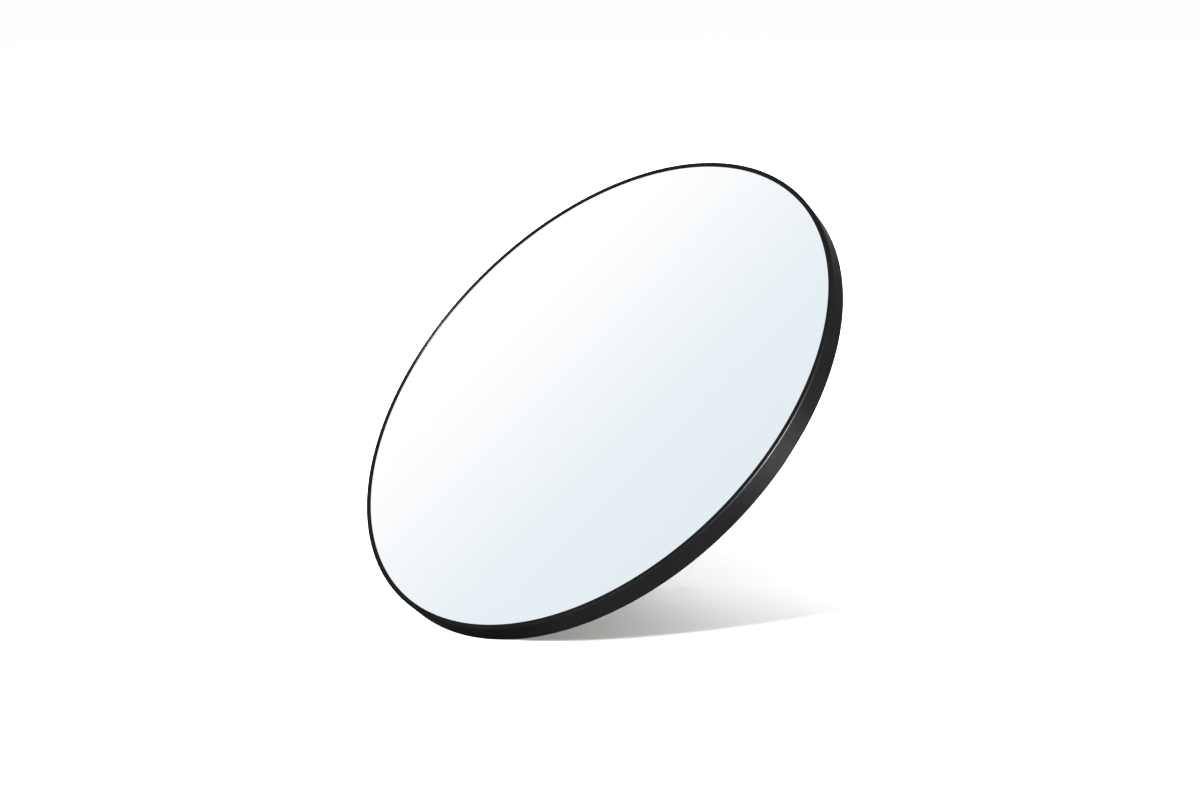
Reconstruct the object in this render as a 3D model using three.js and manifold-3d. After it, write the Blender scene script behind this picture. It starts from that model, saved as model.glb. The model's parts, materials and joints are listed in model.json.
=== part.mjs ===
// A round countertop mirror in a thin black aluminium frame. It leans back on the counter, held by a
// fold-out steel strut behind it. A stay bar between the strut and a slotted guide sets how far it opens.
//
// Units are millimetres. The part's frame has +Z up and the counter at z = 0. The mirror faces -Y, and the
// origin is on the counter, below the centre of the frame.
//
// Three nested frames carry the pieces:
//   head   x to the right, y up the glass, z out of the front face; z = 0 is the front of the frame
//   rear   x the same, y down the back from the hinge, z backwards from the backing board
//   strut  x the same, y down the strut from the hinge, z away from the board when the strut is folded
import * as THREE from "three";
import { mergeVertices } from "three/addons/utils/BufferGeometryUtils.js";
import Module from "manifold-3d";

const wasm = await Module();
wasm.setup();

// ---------------------------------------------------------------- driving dimensions
const degrees = Math.PI / 180;

const FRAME_RADIUS = 200;
const FRAME_DEPTH = 15;
const WALL = 1.2; // thickness of the frame's outer wall and rear flange
const LIP_WIDTH = 3.5; // front lip, from the outer face inwards
const LIP_THICKNESS = 0.7;
const NOSE_RADIUS = 1.2; // rounding between the lip and the outer wall
const FLANGE_WIDTH = 9; // rear flange, from the outer face inwards
const SEAM_WIDTH = 0.2; // butt joint at the bottom of the rolled frame

const RECLINE = 47 * degrees; // between the glass and the counter
const OPEN_ANGLE = 54 * degrees; // between the strut and the board when it is open
const SOLE_DROP = 0.8; // the rubber foot stands this far below the rim

const FIT = 0.1; // gap between sheets that lie on each other
const GAP = 0.3; // gap between other neighbours
const GLASS_THICKNESS = 4;
const GLASS_RADIUS = 197.8;
const FILM_THICKNESS = 0.3;
const BOARD_THICKNESS = 6; // the foam sheet fills what is left in front of it
const BOARD_RADIUS = 198.3;
const EDGE_EASE = 0.4; // chamfer round the glass and the board
const SHEET_INSET = 0.6; // the film and the foam are this much smaller in radius than the glass

const KEY_THICKNESS = 2.9; // splice key across the frame's butt joint
const KEY_HALF_WIDTH = 36;
const KEY_HALF_ROOM = 38; // half the width of the rebate in the board for it
const JOINT_SCREW_RADIUS = 195.4; // where the screws through the rear flange sit
const JOINT_SCREW_X = 28;
const JOINT_SCREW_LENGTH = 4;
const FOOT_SCREW_X = 9;
const FOOT_SCREW_Y = -182.5;

const PIN_STANDOFF = 8; // hinge axis behind the board
const HINGE_PIN_RADIUS = 2;
const LINK_PIN_RADIUS = 1.5;
const STAY_LENGTH = 52; // hinge to stay pivot, and stay pivot to slider: both the same
const SHEET = 1.5; // thickness of the pressed steel pieces
const PLATE_LIFT = 0.2; // pressed pieces stand this far off the board

const STRUT_TOP_HALF = 19; // half width of the strut at the hinge
const STRUT_FOOT_HALF = 23.5; // half width of the strut at the foot
const WEB_TOP = 5.7; // outer face of the strut's web above its hinge axis
const BOOT_WALL = 2.2;
const PLATE_CORNER = 3; // corner radius of the screwed plates

const ROUND = 96; // segments of the large circles
const SMALL_ROUND = 16; // segments of pins and bores
const SCREW_ROUND = 12; // segments of screws and their pilot holes
const HALF_TURN_STEPS = 10; // segments of a half circle in an outline
const CORNER_STEPS = 4; // segments of a quarter circle in an outline
const OVER = 1; // cutters reach this far past what they cut

// ---------------------------------------------------------------- worked out from them
const lean = OPEN_ANGLE - (Math.PI / 2 - RECLINE); // of the open strut, from the vertical
const glassFront = -(LIP_THICKNESS + FIT);
const glassBack = glassFront - GLASS_THICKNESS;
const filmFront = glassBack - FIT;
const filmBack = filmFront - FILM_THICKNESS;
const flangeFront = -(FRAME_DEPTH - WALL);
const boardBack = flangeFront + FIT;
const boardFront = boardBack + BOARD_THICKNESS;
const headHeight = FRAME_RADIUS * Math.sin(RECLINE) + FRAME_DEPTH * Math.cos(RECLINE) + SOLE_DROP;
const headY = -(FRAME_DEPTH / 2) * Math.sin(RECLINE);
const hingeHeight = headHeight + (boardBack - PIN_STANDOFF) * Math.cos(RECLINE);
const strutReach = hingeHeight / Math.cos(lean); // hinge to counter, along the strut
const sliderOpen = 2 * STAY_LENGTH * Math.cos(OPEN_ANGLE); // slider below the hinge, strut open
const sliderFolded = 2 * STAY_LENGTH;

// ---------------------------------------------------------------- solids
// A geometry as a manifold-3d solid, and back.
function solidOf(geometry) {
  const bare = geometry.clone();
  bare.deleteAttribute("normal");
  bare.deleteAttribute("uv");
  const merged = mergeVertices(bare, 1e-4);
  return new wasm.Manifold(
    new wasm.Mesh({
      numProp: 3,
      vertProperties: new Float32Array(merged.attributes.position.array),
      triVerts: new Uint32Array(merged.index.array),
    }),
  );
}

function geometryOf(solid) {
  const mesh = solid.getMesh();
  const geometry = new THREE.BufferGeometry();
  geometry.setAttribute("position", new THREE.BufferAttribute(mesh.vertProperties, 3));
  geometry.setIndex(new THREE.BufferAttribute(mesh.triVerts, 1));
  geometry.computeVertexNormals();
  return geometry;
}

const join = (solids) => solids.reduce((all, one) => all.add(one));
const cut = (solid, tools) => tools.reduce((rest, tool) => rest.subtract(tool), solid);
const bothSides = (make) => [make(1), make(-1)];

// The stretch from inner to outer on the right (side 1), or its mirror image on the left (side -1).
const span = (side, inner, outer) => (side > 0 ? [inner, outer] : [-outer, -inner]);

// Points of an arc about (x, y), both ends included.
function arc(x, y, radius, from, to, steps) {
  return Array.from({ length: steps + 1 }, (_, i) => {
    const angle = from + ((to - from) * i) / steps;
    return new THREE.Vector2(x + radius * Math.cos(angle), y + radius * Math.sin(angle));
  });
}

const points = (pairs) => pairs.map(([x, y]) => new THREE.Vector2(x, y));

// A closed profile of (radius, z) points turned about the z axis.
function revolve(profile, segments, closed = true) {
  const ordered = THREE.ShapeUtils.area(profile) < 0 ? [...profile].reverse() : [...profile];
  if (closed) ordered.push(ordered[0].clone());
  return solidOf(new THREE.LatheGeometry(ordered, segments).rotateX(Math.PI / 2));
}

// An outline of (x, y) points extruded from z = low to z = high.
function slab(outline, low, high) {
  const geometry = new THREE.ExtrudeGeometry(new THREE.Shape(outline), {
    depth: high - low,
    bevelEnabled: false,
  });
  return solidOf(geometry.translate(0, 0, low));
}

// An outline of (y, z) points extruded from x = low to x = high.
function rail(outline, low, high) {
  const geometry = new THREE.ExtrudeGeometry(new THREE.Shape(outline), {
    depth: high - low,
    bevelEnabled: false,
  });
  // The extrusion's own x, y and z become the part's y, z and x.
  const turn = new THREE.Matrix4().set(0, 0, 1, low, 1, 0, 0, 0, 0, 1, 0, 0, 0, 0, 0, 1);
  return solidOf(geometry.applyMatrix4(turn));
}

const block = (x0, x1, y0, y1, z0, z1) =>
  slab(points([[x0, y0], [x1, y0], [x1, y1], [x0, y1]]), z0, z1);

const post = (radius, x, y, low, high, segments = SMALL_ROUND) =>
  slab(arc(x, y, radius, 0, 2 * Math.PI, segments).slice(0, -1), low, high);

const rod = (radius, y, z, low, high) =>
  rail(arc(y, z, radius, 0, 2 * Math.PI, SMALL_ROUND).slice(0, -1), low, high);

// A cutter for a bore along x, through everything within reach of x = 0.
const bore = (radius, y, z, reach) => rod(radius, y, z, -reach - OVER, reach + OVER);

const disc = (radius, low, high) =>
  revolve(
    points([
      [0, low], [radius - EDGE_EASE, low], [radius, low + EDGE_EASE],
      [radius, high - EDGE_EASE], [radius - EDGE_EASE, high], [0, high],
    ]),
    ROUND,
    false,
  );

const sheet = (low, high) => post(GLASS_RADIUS - SHEET_INSET, 0, 0, low, high, ROUND);

const ring = (inner, outer, low, high, segments) =>
  revolve(points([[inner, low], [outer, low], [outer, high], [inner, high]]), segments);

// A rectangle with rounded corners about (0, y).
function roundedBox(halfX, y0, y1, radius) {
  const quarter = Math.PI / 2;
  return [
    ...arc(halfX - radius, y1 - radius, radius, 0, quarter, CORNER_STEPS),
    ...arc(-halfX + radius, y1 - radius, radius, quarter, 2 * quarter, CORNER_STEPS),
    ...arc(-halfX + radius, y0 + radius, radius, 2 * quarter, 3 * quarter, CORNER_STEPS),
    ...arc(halfX - radius, y0 + radius, radius, 3 * quarter, 4 * quarter, CORNER_STEPS),
  ];
}

// ---------------------------------------------------------------- materials
const finish = (color, roughness, metalness) =>
  new THREE.MeshStandardMaterial({ color, roughness, metalness });
const satinBlack = finish(0x17181a, 0.42, 0.1);
const silvered = finish(0xe9f0f3, 0.03, 1);
const paleFilm = finish(0x8c949a, 0.6, 0);
const whiteFoam = finish(0xe4e4e0, 0.9, 0);
const blackTape = finish(0x1c1c1c, 0.9, 0);
const fibreboard = finish(0x73685c, 0.85, 0);
const zincPlate = finish(0xb4b7ba, 0.35, 0.9);
const blackRubber = finish(0x1b1b1c, 0.8, 0);
const blackNylon = finish(0x202124, 0.55, 0);

function piece(name, solid, material) {
  const mesh = new THREE.Mesh(geometryOf(solid), material);
  mesh.name = name;
  return mesh;
}

// ---------------------------------------------------------------- fasteners
const SCREW_HEAD_RADIUS = 3;
const SCREW_HEAD_HEIGHT = 1.9;
const SCREW_SHANK_RADIUS = 1.4;
const PILOT_RADIUS = 1.6;
const CLEARANCE_RADIUS = 1.85;

// A pan-head cross-recess screw: z = 0 is under its head, and the shank points down -z.
function panScrew(shankLength) {
  const rimHeight = 0.8;
  const crownRadius = 2.3;
  const crownHeight = 1.6;
  const profile = points([
    [0, -shankLength], [SCREW_SHANK_RADIUS, SCREW_SHANK_RADIUS - shankLength],
    [SCREW_SHANK_RADIUS, 0], [SCREW_HEAD_RADIUS, 0], [SCREW_HEAD_RADIUS, rimHeight],
    [crownRadius, crownHeight], [0, SCREW_HEAD_HEIGHT],
  ]);
  const arm = 1.7;
  const halfWidth = 0.4;
  const floor = 0.9;
  const top = SCREW_HEAD_HEIGHT + OVER;
  const recess = [
    block(-arm, arm, -halfWidth, halfWidth, floor, top),
    block(-halfWidth, halfWidth, -arm, arm, floor, top),
  ];
  return cut(revolve(profile, SCREW_ROUND, false), recess);
}

function screwAt(name, shankLength, x, y, z) {
  const mesh = piece(name, panScrew(shankLength), zincPlate);
  mesh.position.set(x, y, z);
  return mesh;
}

// ---------------------------------------------------------------- frame and glass (head frame)
const JOINT_SCREW_Y = -Math.sqrt(JOINT_SCREW_RADIUS ** 2 - JOINT_SCREW_X ** 2);

function frameRing() {
  const outer = FRAME_RADIUS;
  const lipEdge = outer - LIP_WIDTH;
  const flangeEdge = outer - FLANGE_WIDTH;
  const ease = 0.2;
  const rearEase = 0.5;
  const profile = [
    ...points([[lipEdge, -LIP_THICKNESS], [lipEdge, -ease], [lipEdge + ease, 0]]),
    ...arc(outer - NOSE_RADIUS, -NOSE_RADIUS, NOSE_RADIUS, Math.PI / 2, 0, CORNER_STEPS),
    ...points([
      [outer, -FRAME_DEPTH + rearEase], [outer - rearEase, -FRAME_DEPTH],
      [flangeEdge + ease, -FRAME_DEPTH], [flangeEdge, -FRAME_DEPTH + ease],
      [flangeEdge, flangeFront], [outer - WALL, flangeFront], [outer - WALL, -LIP_THICKNESS],
    ]),
  ];
  const half = SEAM_WIDTH / 2;
  const behind = -FRAME_DEPTH - OVER;
  const seam = block(-half, half, -outer - OVER, -flangeEdge + OVER, behind, OVER);
  const holes = bothSides((side) =>
    post(CLEARANCE_RADIUS, side * JOINT_SCREW_X, JOINT_SCREW_Y, behind, flangeFront + OVER),
  );
  return cut(revolve(profile, ROUND), [seam, ...holes]);
}

// The bottom stretch of a ring about the glass's axis, as wide as halfWidth each way.
function bottomSector(inner, outer, low, high, halfWidth) {
  return ring(inner, outer, low, high, ROUND).intersect(
    block(-halfWidth, halfWidth, -outer - OVER, 0, low - OVER, high + OVER),
  );
}

const KEY_INSET = 1.2; // from the flange's inner edge to the key
const KEY_WALL_GAP = 0.5; // from the key to the outer wall
const REBATE_INSET = 0.7; // from the flange's inner edge to the board's rebate

function spliceKey() {
  const back = flangeFront + GAP;
  const front = back + KEY_THICKNESS;
  const inner = FRAME_RADIUS - FLANGE_WIDTH + KEY_INSET;
  const outer = FRAME_RADIUS - WALL - KEY_WALL_GAP;
  const body = bottomSector(inner, outer, back, front, KEY_HALF_WIDTH);
  const holes = bothSides((side) =>
    post(PILOT_RADIUS, side * JOINT_SCREW_X, JOINT_SCREW_Y, back - OVER, front + OVER),
  );
  return cut(body, holes);
}

// Places of the screws into the board, in the rear frame.
const bracketScrews = [[-8, -14], [8, -14], [-8, 14], [8, 14]];
const guideTabReach = 13; // guide screws beyond the slider's travel
const guideScrews = [-6, 6].flatMap((x) => [
  [x, sliderOpen - guideTabReach],
  [x, sliderFolded + guideTabReach],
]);
const BOARD_SCREW_LENGTH = 6;
const PILOT_DEPTH = 5;

function backingBoard() {
  const body = disc(BOARD_RADIUS, boardBack, boardFront);
  const inner = FRAME_RADIUS - FLANGE_WIDTH + REBATE_INSET;
  const deep = flangeFront + 2 * GAP + KEY_THICKNESS;
  const rebate = bottomSector(inner, FRAME_RADIUS, boardBack - OVER, deep, KEY_HALF_ROOM);
  const footScrews = bothSides((side) => [side * FOOT_SCREW_X, -FOOT_SCREW_Y]);
  const pilots = [...bracketScrews, ...guideScrews, ...footScrews].map(([x, y]) =>
    post(PILOT_RADIUS, x, -y, boardBack - OVER, boardBack + PILOT_DEPTH, SCREW_ROUND),
  );
  return cut(body, [rebate, ...pilots]);
}

// The tape lines the rim beside the glass and stops just short of both of its faces.
const TAPE_GAP = 0.2;
const TAPE_THICKNESS = 0.5;
const glassEdgeTape = () => {
  const inner = GLASS_RADIUS + TAPE_GAP;
  return ring(inner, inner + TAPE_THICKNESS, glassBack + TAPE_GAP, glassFront - TAPE_GAP, ROUND);
};

// ---------------------------------------------------------------- front foot (head frame)
const FOOT_HALF = 16;
const FOOT_CORNER = 5; // corner radius of the tab's upper end
const SOLE_START = 3.5; // the sole starts and ends this far behind the rear flange
const SOLE_END = 10.5;
const TAB_THICKNESS = 3;
const TAB_TOP = -176.5;
const TAB_BOTTOM = -188;
const TAB_EASE = 1;
const SHOULDER = 2; // chamfer between the sole's rear end and the tab
const SHOULDER_LEAN = 0.5;
const FLANGE_ROOM = 1.6; // from the flange's inner edge to the step over it
const FOOT_SCREW_LENGTH = 7.5;

// Where the counter cuts the head frame at a given z.
const counterY = (z) => -(headHeight + z * Math.cos(RECLINE)) / Math.sin(RECLINE);

// A wedge behind the rear flange, with a tab above it that is screwed to the board.
function frontFoot() {
  const flangeFace = -FRAME_DEPTH - GAP;
  const boardFace = boardBack - GAP;
  const tabBack = boardFace - TAB_THICKNESS;
  const near = -FRAME_DEPTH - SOLE_START;
  const far = -FRAME_DEPTH - SOLE_END;
  const step = -(FRAME_RADIUS - FLANGE_WIDTH) + FLANGE_ROOM;
  const riseY = counterY(near) + (flangeFace - near) * Math.tan(RECLINE);
  const side = points([
    [riseY, flangeFace], [counterY(near), near], [counterY(far), far],
    [TAB_BOTTOM - SHOULDER, far], [TAB_BOTTOM - SHOULDER_LEAN, far + SHOULDER],
    [TAB_BOTTOM, tabBack], [TAB_TOP - TAB_EASE, tabBack], [TAB_TOP, tabBack + TAB_EASE],
    [TAB_TOP, boardFace], [step, boardFace], [step, flangeFace],
  ]);
  // The plan ends well below the counter, so that only the tab's two corners are round.
  const planEnd = counterY(near) - 2 * FOOT_CORNER;
  const plan = roundedBox(FOOT_HALF, planEnd, TAB_TOP, FOOT_CORNER);
  const low = far - OVER;
  const high = boardFace + OVER;
  const body = rail(side, -FOOT_HALF, FOOT_HALF).intersect(slab(plan, low, high));
  const holes = bothSides((s) => post(CLEARANCE_RADIUS, s * FOOT_SCREW_X, FOOT_SCREW_Y, low, high));
  return cut(body, holes);
}

// ---------------------------------------------------------------- hinge (rear frame)
const BRACKET_HALF = 16;
const BRACKET_REACH = 20; // half the length of the plate, along the board
const EAR_RADIUS = 5.4;
const EAR_FOOT_HALF = 7.5;
const PIN_PLAY = 0.3;
const plateTop = PLATE_LIFT + SHEET;

// A cutter for a screw hole through a plate on the board.
const plateHole = ([x, y]) => post(CLEARANCE_RADIUS, x, y, PLATE_LIFT - OVER, plateTop + OVER);

function hingeBracket() {
  const outline = roundedBox(BRACKET_HALF, -BRACKET_REACH, BRACKET_REACH, PLATE_CORNER);
  const plate = slab(outline, PLATE_LIFT, plateTop);
  const ear = [
    ...arc(0, PIN_STANDOFF, EAR_RADIUS, 0, Math.PI, HALF_TURN_STEPS),
    ...points([[-EAR_FOOT_HALF, PLATE_LIFT], [EAR_FOOT_HALF, PLATE_LIFT]]),
  ];
  const ears = bothSides((side) => rail(ear, ...span(side, BRACKET_HALF - SHEET, BRACKET_HALF)));
  const pinBore = bore(HINGE_PIN_RADIUS + PIN_PLAY, 0, PIN_STANDOFF, BRACKET_HALF);
  return cut(join([plate, ...ears]), [pinBore, ...bracketScrews.map(plateHole)]);
}

const WASHER_RADIUS = 5;
const WASHER_THICKNESS = 1;
const WASHER_GAP = 0.25; // to the bracket's ear
const washerEnd = BRACKET_HALF + WASHER_GAP + WASHER_THICKNESS;
const hingeWasher = () =>
  cut(rod(WASHER_RADIUS, 0, 0, 0, WASHER_THICKNESS), [
    bore(HINGE_PIN_RADIUS + PIN_PLAY, 0, 0, WASHER_THICKNESS),
  ]);

// The pin runs through the strut's ears, with a head on its right end and a clip groove on its left.
const pinHeadX = STRUT_TOP_HALF + GAP;
const clipX = -(STRUT_TOP_HALF + 1);
const PIN_TAIL = 1.6; // the pin goes this far past the middle of its clip
const PIN_HEAD_RADIUS = 3.6;
const PIN_HEAD_RIM = 0.9;
const PIN_CROWN_RADIUS = 3;
const PIN_HEAD_HEIGHT = 1.4;
const CLIP_RADIUS = 3.8;
const CLIP_BORE_RADIUS = 1.6;
const CLIP_THICKNESS = 0.5;
const CLIP_MOUTH_HALF = 1.1;
const GROOVE_RADIUS = 1.4;
const GROOVE_WIDTH = 0.8;

function hingePin() {
  const shank = rod(HINGE_PIN_RADIUS, 0, 0, clipX - PIN_TAIL, pinHeadX + PIN_HEAD_RIM / 2);
  const head = join([
    rod(PIN_HEAD_RADIUS, 0, 0, pinHeadX, pinHeadX + PIN_HEAD_RIM),
    rod(PIN_CROWN_RADIUS, 0, 0, pinHeadX, pinHeadX + PIN_HEAD_HEIGHT),
  ]);
  const low = clipX - GROOVE_WIDTH / 2;
  const high = clipX + GROOVE_WIDTH / 2;
  const groove = cut(rod(HINGE_PIN_RADIUS + OVER, 0, 0, low, high), [
    rod(GROOVE_RADIUS, 0, 0, low - OVER, high + OVER),
  ]);
  return cut(join([shank, head]), [groove]);
}

// A spring clip with an open mouth and two small notches behind its grip.
function hingeClip() {
  const notchRadius = 0.6;
  const notchY = 1;
  const notchZ = 1.9;
  const low = clipX - CLIP_THICKNESS / 2;
  const high = clipX + CLIP_THICKNESS / 2;
  const mouthEnd = -CLIP_RADIUS - OVER;
  const mouth = rail(
    points([
      [mouthEnd, -CLIP_MOUTH_HALF], [0, -CLIP_MOUTH_HALF],
      [0, CLIP_MOUTH_HALF], [mouthEnd, CLIP_MOUTH_HALF],
    ]),
    low - OVER,
    high + OVER,
  );
  const grip = rod(CLIP_BORE_RADIUS, 0, 0, low - OVER, high + OVER);
  const notches = bothSides((s) => rod(notchRadius, notchY, s * notchZ, low - OVER, high + OVER));
  return cut(rod(CLIP_RADIUS, 0, 0, low, high), [grip, mouth, ...notches]);
}

// ---------------------------------------------------------------- guide and slider (rear frame)
const GUIDE_HALF = 10;
const GUIDE_UNDER = 2; // height of the raised stretch's underside
const GUIDE_TAB = 17.5; // end of the plate beyond the slider's travel
const GUIDE_RISE = 8.5; // where the ramp starts, beyond the travel
const GUIDE_RAMP = 2.5; // length of the ramp
const BEND_SHIFT = 0.6; // the bends of the upper face lie this much further out
const SLOT_HALF = 2.2;
const NECK_RADIUS = 1.9;
const guideTop = GUIDE_UNDER + SHEET;

function guidePlate() {
  const start = sliderOpen - GUIDE_TAB;
  const end = sliderFolded + GUIDE_TAB;
  const riseStart = sliderOpen - GUIDE_RISE;
  const riseEnd = sliderFolded + GUIDE_RISE;
  const side = points([
    [start, PLATE_LIFT], [riseStart, PLATE_LIFT], [riseStart + GUIDE_RAMP, GUIDE_UNDER],
    [riseEnd - GUIDE_RAMP, GUIDE_UNDER], [riseEnd, PLATE_LIFT], [end, PLATE_LIFT],
    [end, plateTop], [riseEnd + BEND_SHIFT, plateTop],
    [riseEnd + BEND_SHIFT - GUIDE_RAMP, guideTop], [riseStart - BEND_SHIFT + GUIDE_RAMP, guideTop],
    [riseStart - BEND_SHIFT, plateTop], [start, plateTop],
  ]);
  const through = [PLATE_LIFT - OVER, guideTop + OVER];
  const plan = slab(roundedBox(GUIDE_HALF, start, end, PLATE_CORNER), ...through);
  const slot = slab(
    [
      ...arc(0, sliderFolded, SLOT_HALF, 0, Math.PI, HALF_TURN_STEPS),
      ...arc(0, sliderOpen, SLOT_HALF, Math.PI, 2 * Math.PI, HALF_TURN_STEPS),
    ],
    ...through,
  );
  const body = rail(side, -GUIDE_HALF, GUIDE_HALF).intersect(plan);
  return cut(body, [slot, ...guideScrews.map(plateHole)]);
}

const BAR_HALF = 4; // half the width of the stay bar
const BAR_HALF_THICKNESS = 2.2;
const EYE_RADIUS = 3.2;
const BASE_HALF = 5; // half the length of the slider's base, along the slot
const BASE_CORNER = 1.2;
const CHEEK_FOOT_HALF = 4.4;
const CHEEK_RADIUS = EYE_RADIUS + 0.2;
const CHEEK_INNER = BAR_HALF + 0.4;
const CHEEK_OUTER = CHEEK_INNER + 2;
const NECK_FOOT = 1.75; // shoulder of the slider's neck, above the board
const STUB_FOOT = 0.7; // end of the stub that carries the keeper, above the board
const STUB_RADIUS = 1.3;
const KEEPER_FOOT = 0.6;
const KEEPER_INNER_RADIUS = 1.5;
const KEEPER_OUTER_RADIUS = 4.5;
const KEEPER_PLAY = 0.15; // from the keeper to the neck's shoulder
const LAP = 0.2; // joined solids overlap by this

// The slider sits over the guide plate, with its axis at the slider pin: z = 0 is the pin's centre.
function slider() {
  const board = -PIN_STANDOFF;
  const baseLow = board + guideTop + GAP;
  const baseHigh = -EYE_RADIUS - GAP;
  const base = slab(roundedBox(CHEEK_OUTER, -BASE_HALF, BASE_HALF, BASE_CORNER), baseLow, baseHigh);
  const cheek = [
    ...arc(0, 0, CHEEK_RADIUS, 0, Math.PI, HALF_TURN_STEPS),
    ...points([[-CHEEK_FOOT_HALF, baseLow], [CHEEK_FOOT_HALF, baseLow]]),
  ];
  const cheeks = bothSides((side) => rail(cheek, ...span(side, CHEEK_INNER, CHEEK_OUTER)));
  const neck = post(NECK_RADIUS, 0, 0, board + NECK_FOOT, baseLow + LAP);
  const stub = post(STUB_RADIUS, 0, 0, board + STUB_FOOT, board + NECK_FOOT + LAP);
  const pinBore = bore(LINK_PIN_RADIUS + PIN_PLAY, 0, 0, CHEEK_OUTER);
  return cut(join([base, ...cheeks, neck, stub]), [pinBore]);
}

const sliderKeeper = () => {
  const low = KEEPER_FOOT - PIN_STANDOFF;
  const high = NECK_FOOT - KEEPER_PLAY - PIN_STANDOFF;
  return ring(KEEPER_INNER_RADIUS, KEEPER_OUTER_RADIUS, low, high, SMALL_ROUND);
};

// ---------------------------------------------------------------- stay bar and pins (stay frame)
function stayBar() {
  const half = BAR_HALF_THICKNESS;
  const outline = points([[0, -half], [STAY_LENGTH, -half], [STAY_LENGTH, half], [0, half]]);
  const ends = [0, STAY_LENGTH];
  const eyes = ends.map((y) => rod(EYE_RADIUS, y, 0, -BAR_HALF, BAR_HALF));
  const bores = ends.map((y) => bore(LINK_PIN_RADIUS + PIN_PLAY, y, 0, BAR_HALF));
  return cut(join([rail(outline, -BAR_HALF, BAR_HALF), ...eyes]), bores);
}

const RIVET_HEAD_RADIUS = 2.5;
const RIVET_HEAD_HEIGHT = 1;

// A pin with a formed head at each end; halfGrip is half of what it clamps.
function rivetPin(halfGrip) {
  const start = halfGrip + GAP;
  const heads = bothSides((side) =>
    rod(RIVET_HEAD_RADIUS, 0, 0, ...span(side, start, start + RIVET_HEAD_HEIGHT)),
  );
  const half = start + RIVET_HEAD_HEIGHT / 2;
  return join([rod(LINK_PIN_RADIUS, 0, 0, -half, half), ...heads]);
}

// ---------------------------------------------------------------- strut and boot (strut frame)
const webLow = WEB_TOP - SHEET;
const WEB_START = 12; // the web is cut away from the hinge down to here
const FLARE_START = 26;
const FLARE_END_BACK = 30; // the flare ends this far above the counter
const STRUT_END_BACK = 3; // the steel stops this far above the counter, inside the boot
const FLANGE_LOW = -3.6; // lower edge of the side flanges
const FLANGE_TAPER_START = 70; // they grow shallower from here
const FLANGE_FOOT_LOW = -1;
const FLANGE_START = 6; // straight lower edge after the round end
const BEAD_START = 34; // stiffening bead in the web
const BEAD_END_BACK = 38;
const BEAD_HALF = 3.5;
const BEAD_RISE = 1; // above the web's outer face
const BEAD_CORNER = 3.4;
const BEAD_SHEET = 1.3; // from the bead's edge to the edge of its hollow
const BEAD_FLOOR = 0.4; // floor of the bead's hollow, below the web's outer face
const BEAD_END = 1.5; // from the bead's end to the end of its hollow
const HOLLOW_CORNER = 2.1;
const PIVOT_EAR_INNER = 5;
const PIVOT_EAR_RADIUS = 3.4;
const PIVOT_EAR_FOOT_HALF = 5;
const flareEnd = strutReach - FLARE_END_BACK;
const strutEnd = strutReach - STRUT_END_BACK;

// The strut's plan as an outline, narrowed by inset on each side.
function strutPlan(inset, start, end) {
  const narrow = STRUT_TOP_HALF - inset;
  const wide = STRUT_FOOT_HALF - inset;
  return points([
    [-narrow, start], [-narrow, FLARE_START], [-wide, flareEnd], [-wide, end],
    [wide, end], [wide, flareEnd], [narrow, FLARE_START], [narrow, start],
  ]);
}

function strut() {
  const side = [
    ...arc(0, 0, WEB_TOP, 0.5 * Math.PI, 1.5 * Math.PI, HALF_TURN_STEPS),
    ...points([
      [FLANGE_START, FLANGE_LOW], [FLANGE_TAPER_START, FLANGE_LOW], [flareEnd, FLANGE_FOOT_LOW],
      [strutEnd, FLANGE_FOOT_LOW], [strutEnd, WEB_TOP],
    ]),
  ];
  const above = -WEB_TOP - OVER;
  const shell = slab(strutPlan(0, above, strutEnd + OVER), above, WEB_TOP + OVER).intersect(
    rail(side, -STRUT_FOOT_HALF - OVER, STRUT_FOOT_HALF + OVER),
  );
  const hollow = slab(strutPlan(SHEET, above - OVER, strutEnd + 2 * OVER), above - OVER, webLow);
  const inner = STRUT_TOP_HALF - SHEET;
  const open = block(-inner, inner, above, WEB_START, webLow - OVER, WEB_TOP + OVER);
  const beadEnd = strutReach - BEAD_END_BACK;
  const beadPlan = roundedBox(BEAD_HALF, BEAD_START, beadEnd, BEAD_CORNER);
  const bead = slab(beadPlan, webLow, WEB_TOP + BEAD_RISE);
  const groove = slab(
    roundedBox(BEAD_HALF - BEAD_SHEET, BEAD_START + BEAD_END, beadEnd - BEAD_END, HOLLOW_CORNER),
    webLow - OVER,
    WEB_TOP - BEAD_FLOOR,
  );
  const ear = [
    ...arc(STAY_LENGTH, 0, PIVOT_EAR_RADIUS, Math.PI, 2 * Math.PI, HALF_TURN_STEPS),
    ...points([
      [STAY_LENGTH + PIVOT_EAR_FOOT_HALF, webLow + LAP],
      [STAY_LENGTH - PIVOT_EAR_FOOT_HALF, webLow + LAP],
    ]),
  ];
  const earOuter = PIVOT_EAR_INNER + SHEET;
  const ears = bothSides((s) => rail(ear, ...span(s, PIVOT_EAR_INNER, earOuter)));
  const hingeBore = bore(HINGE_PIN_RADIUS + PIN_PLAY, 0, 0, STRUT_FOOT_HALF);
  const pivotBore = bore(LINK_PIN_RADIUS + PIN_PLAY, STAY_LENGTH, 0, earOuter);
  const bootHoles = bootScrews.map(([x, y]) =>
    post(CLEARANCE_RADIUS, x, y, webLow - OVER, WEB_TOP + OVER),
  );
  const body = cut(shell, [hollow, open]);
  return cut(join([body, bead, ...ears]), [groove, hingeBore, pivotBore, ...bootHoles]);
}

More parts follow.
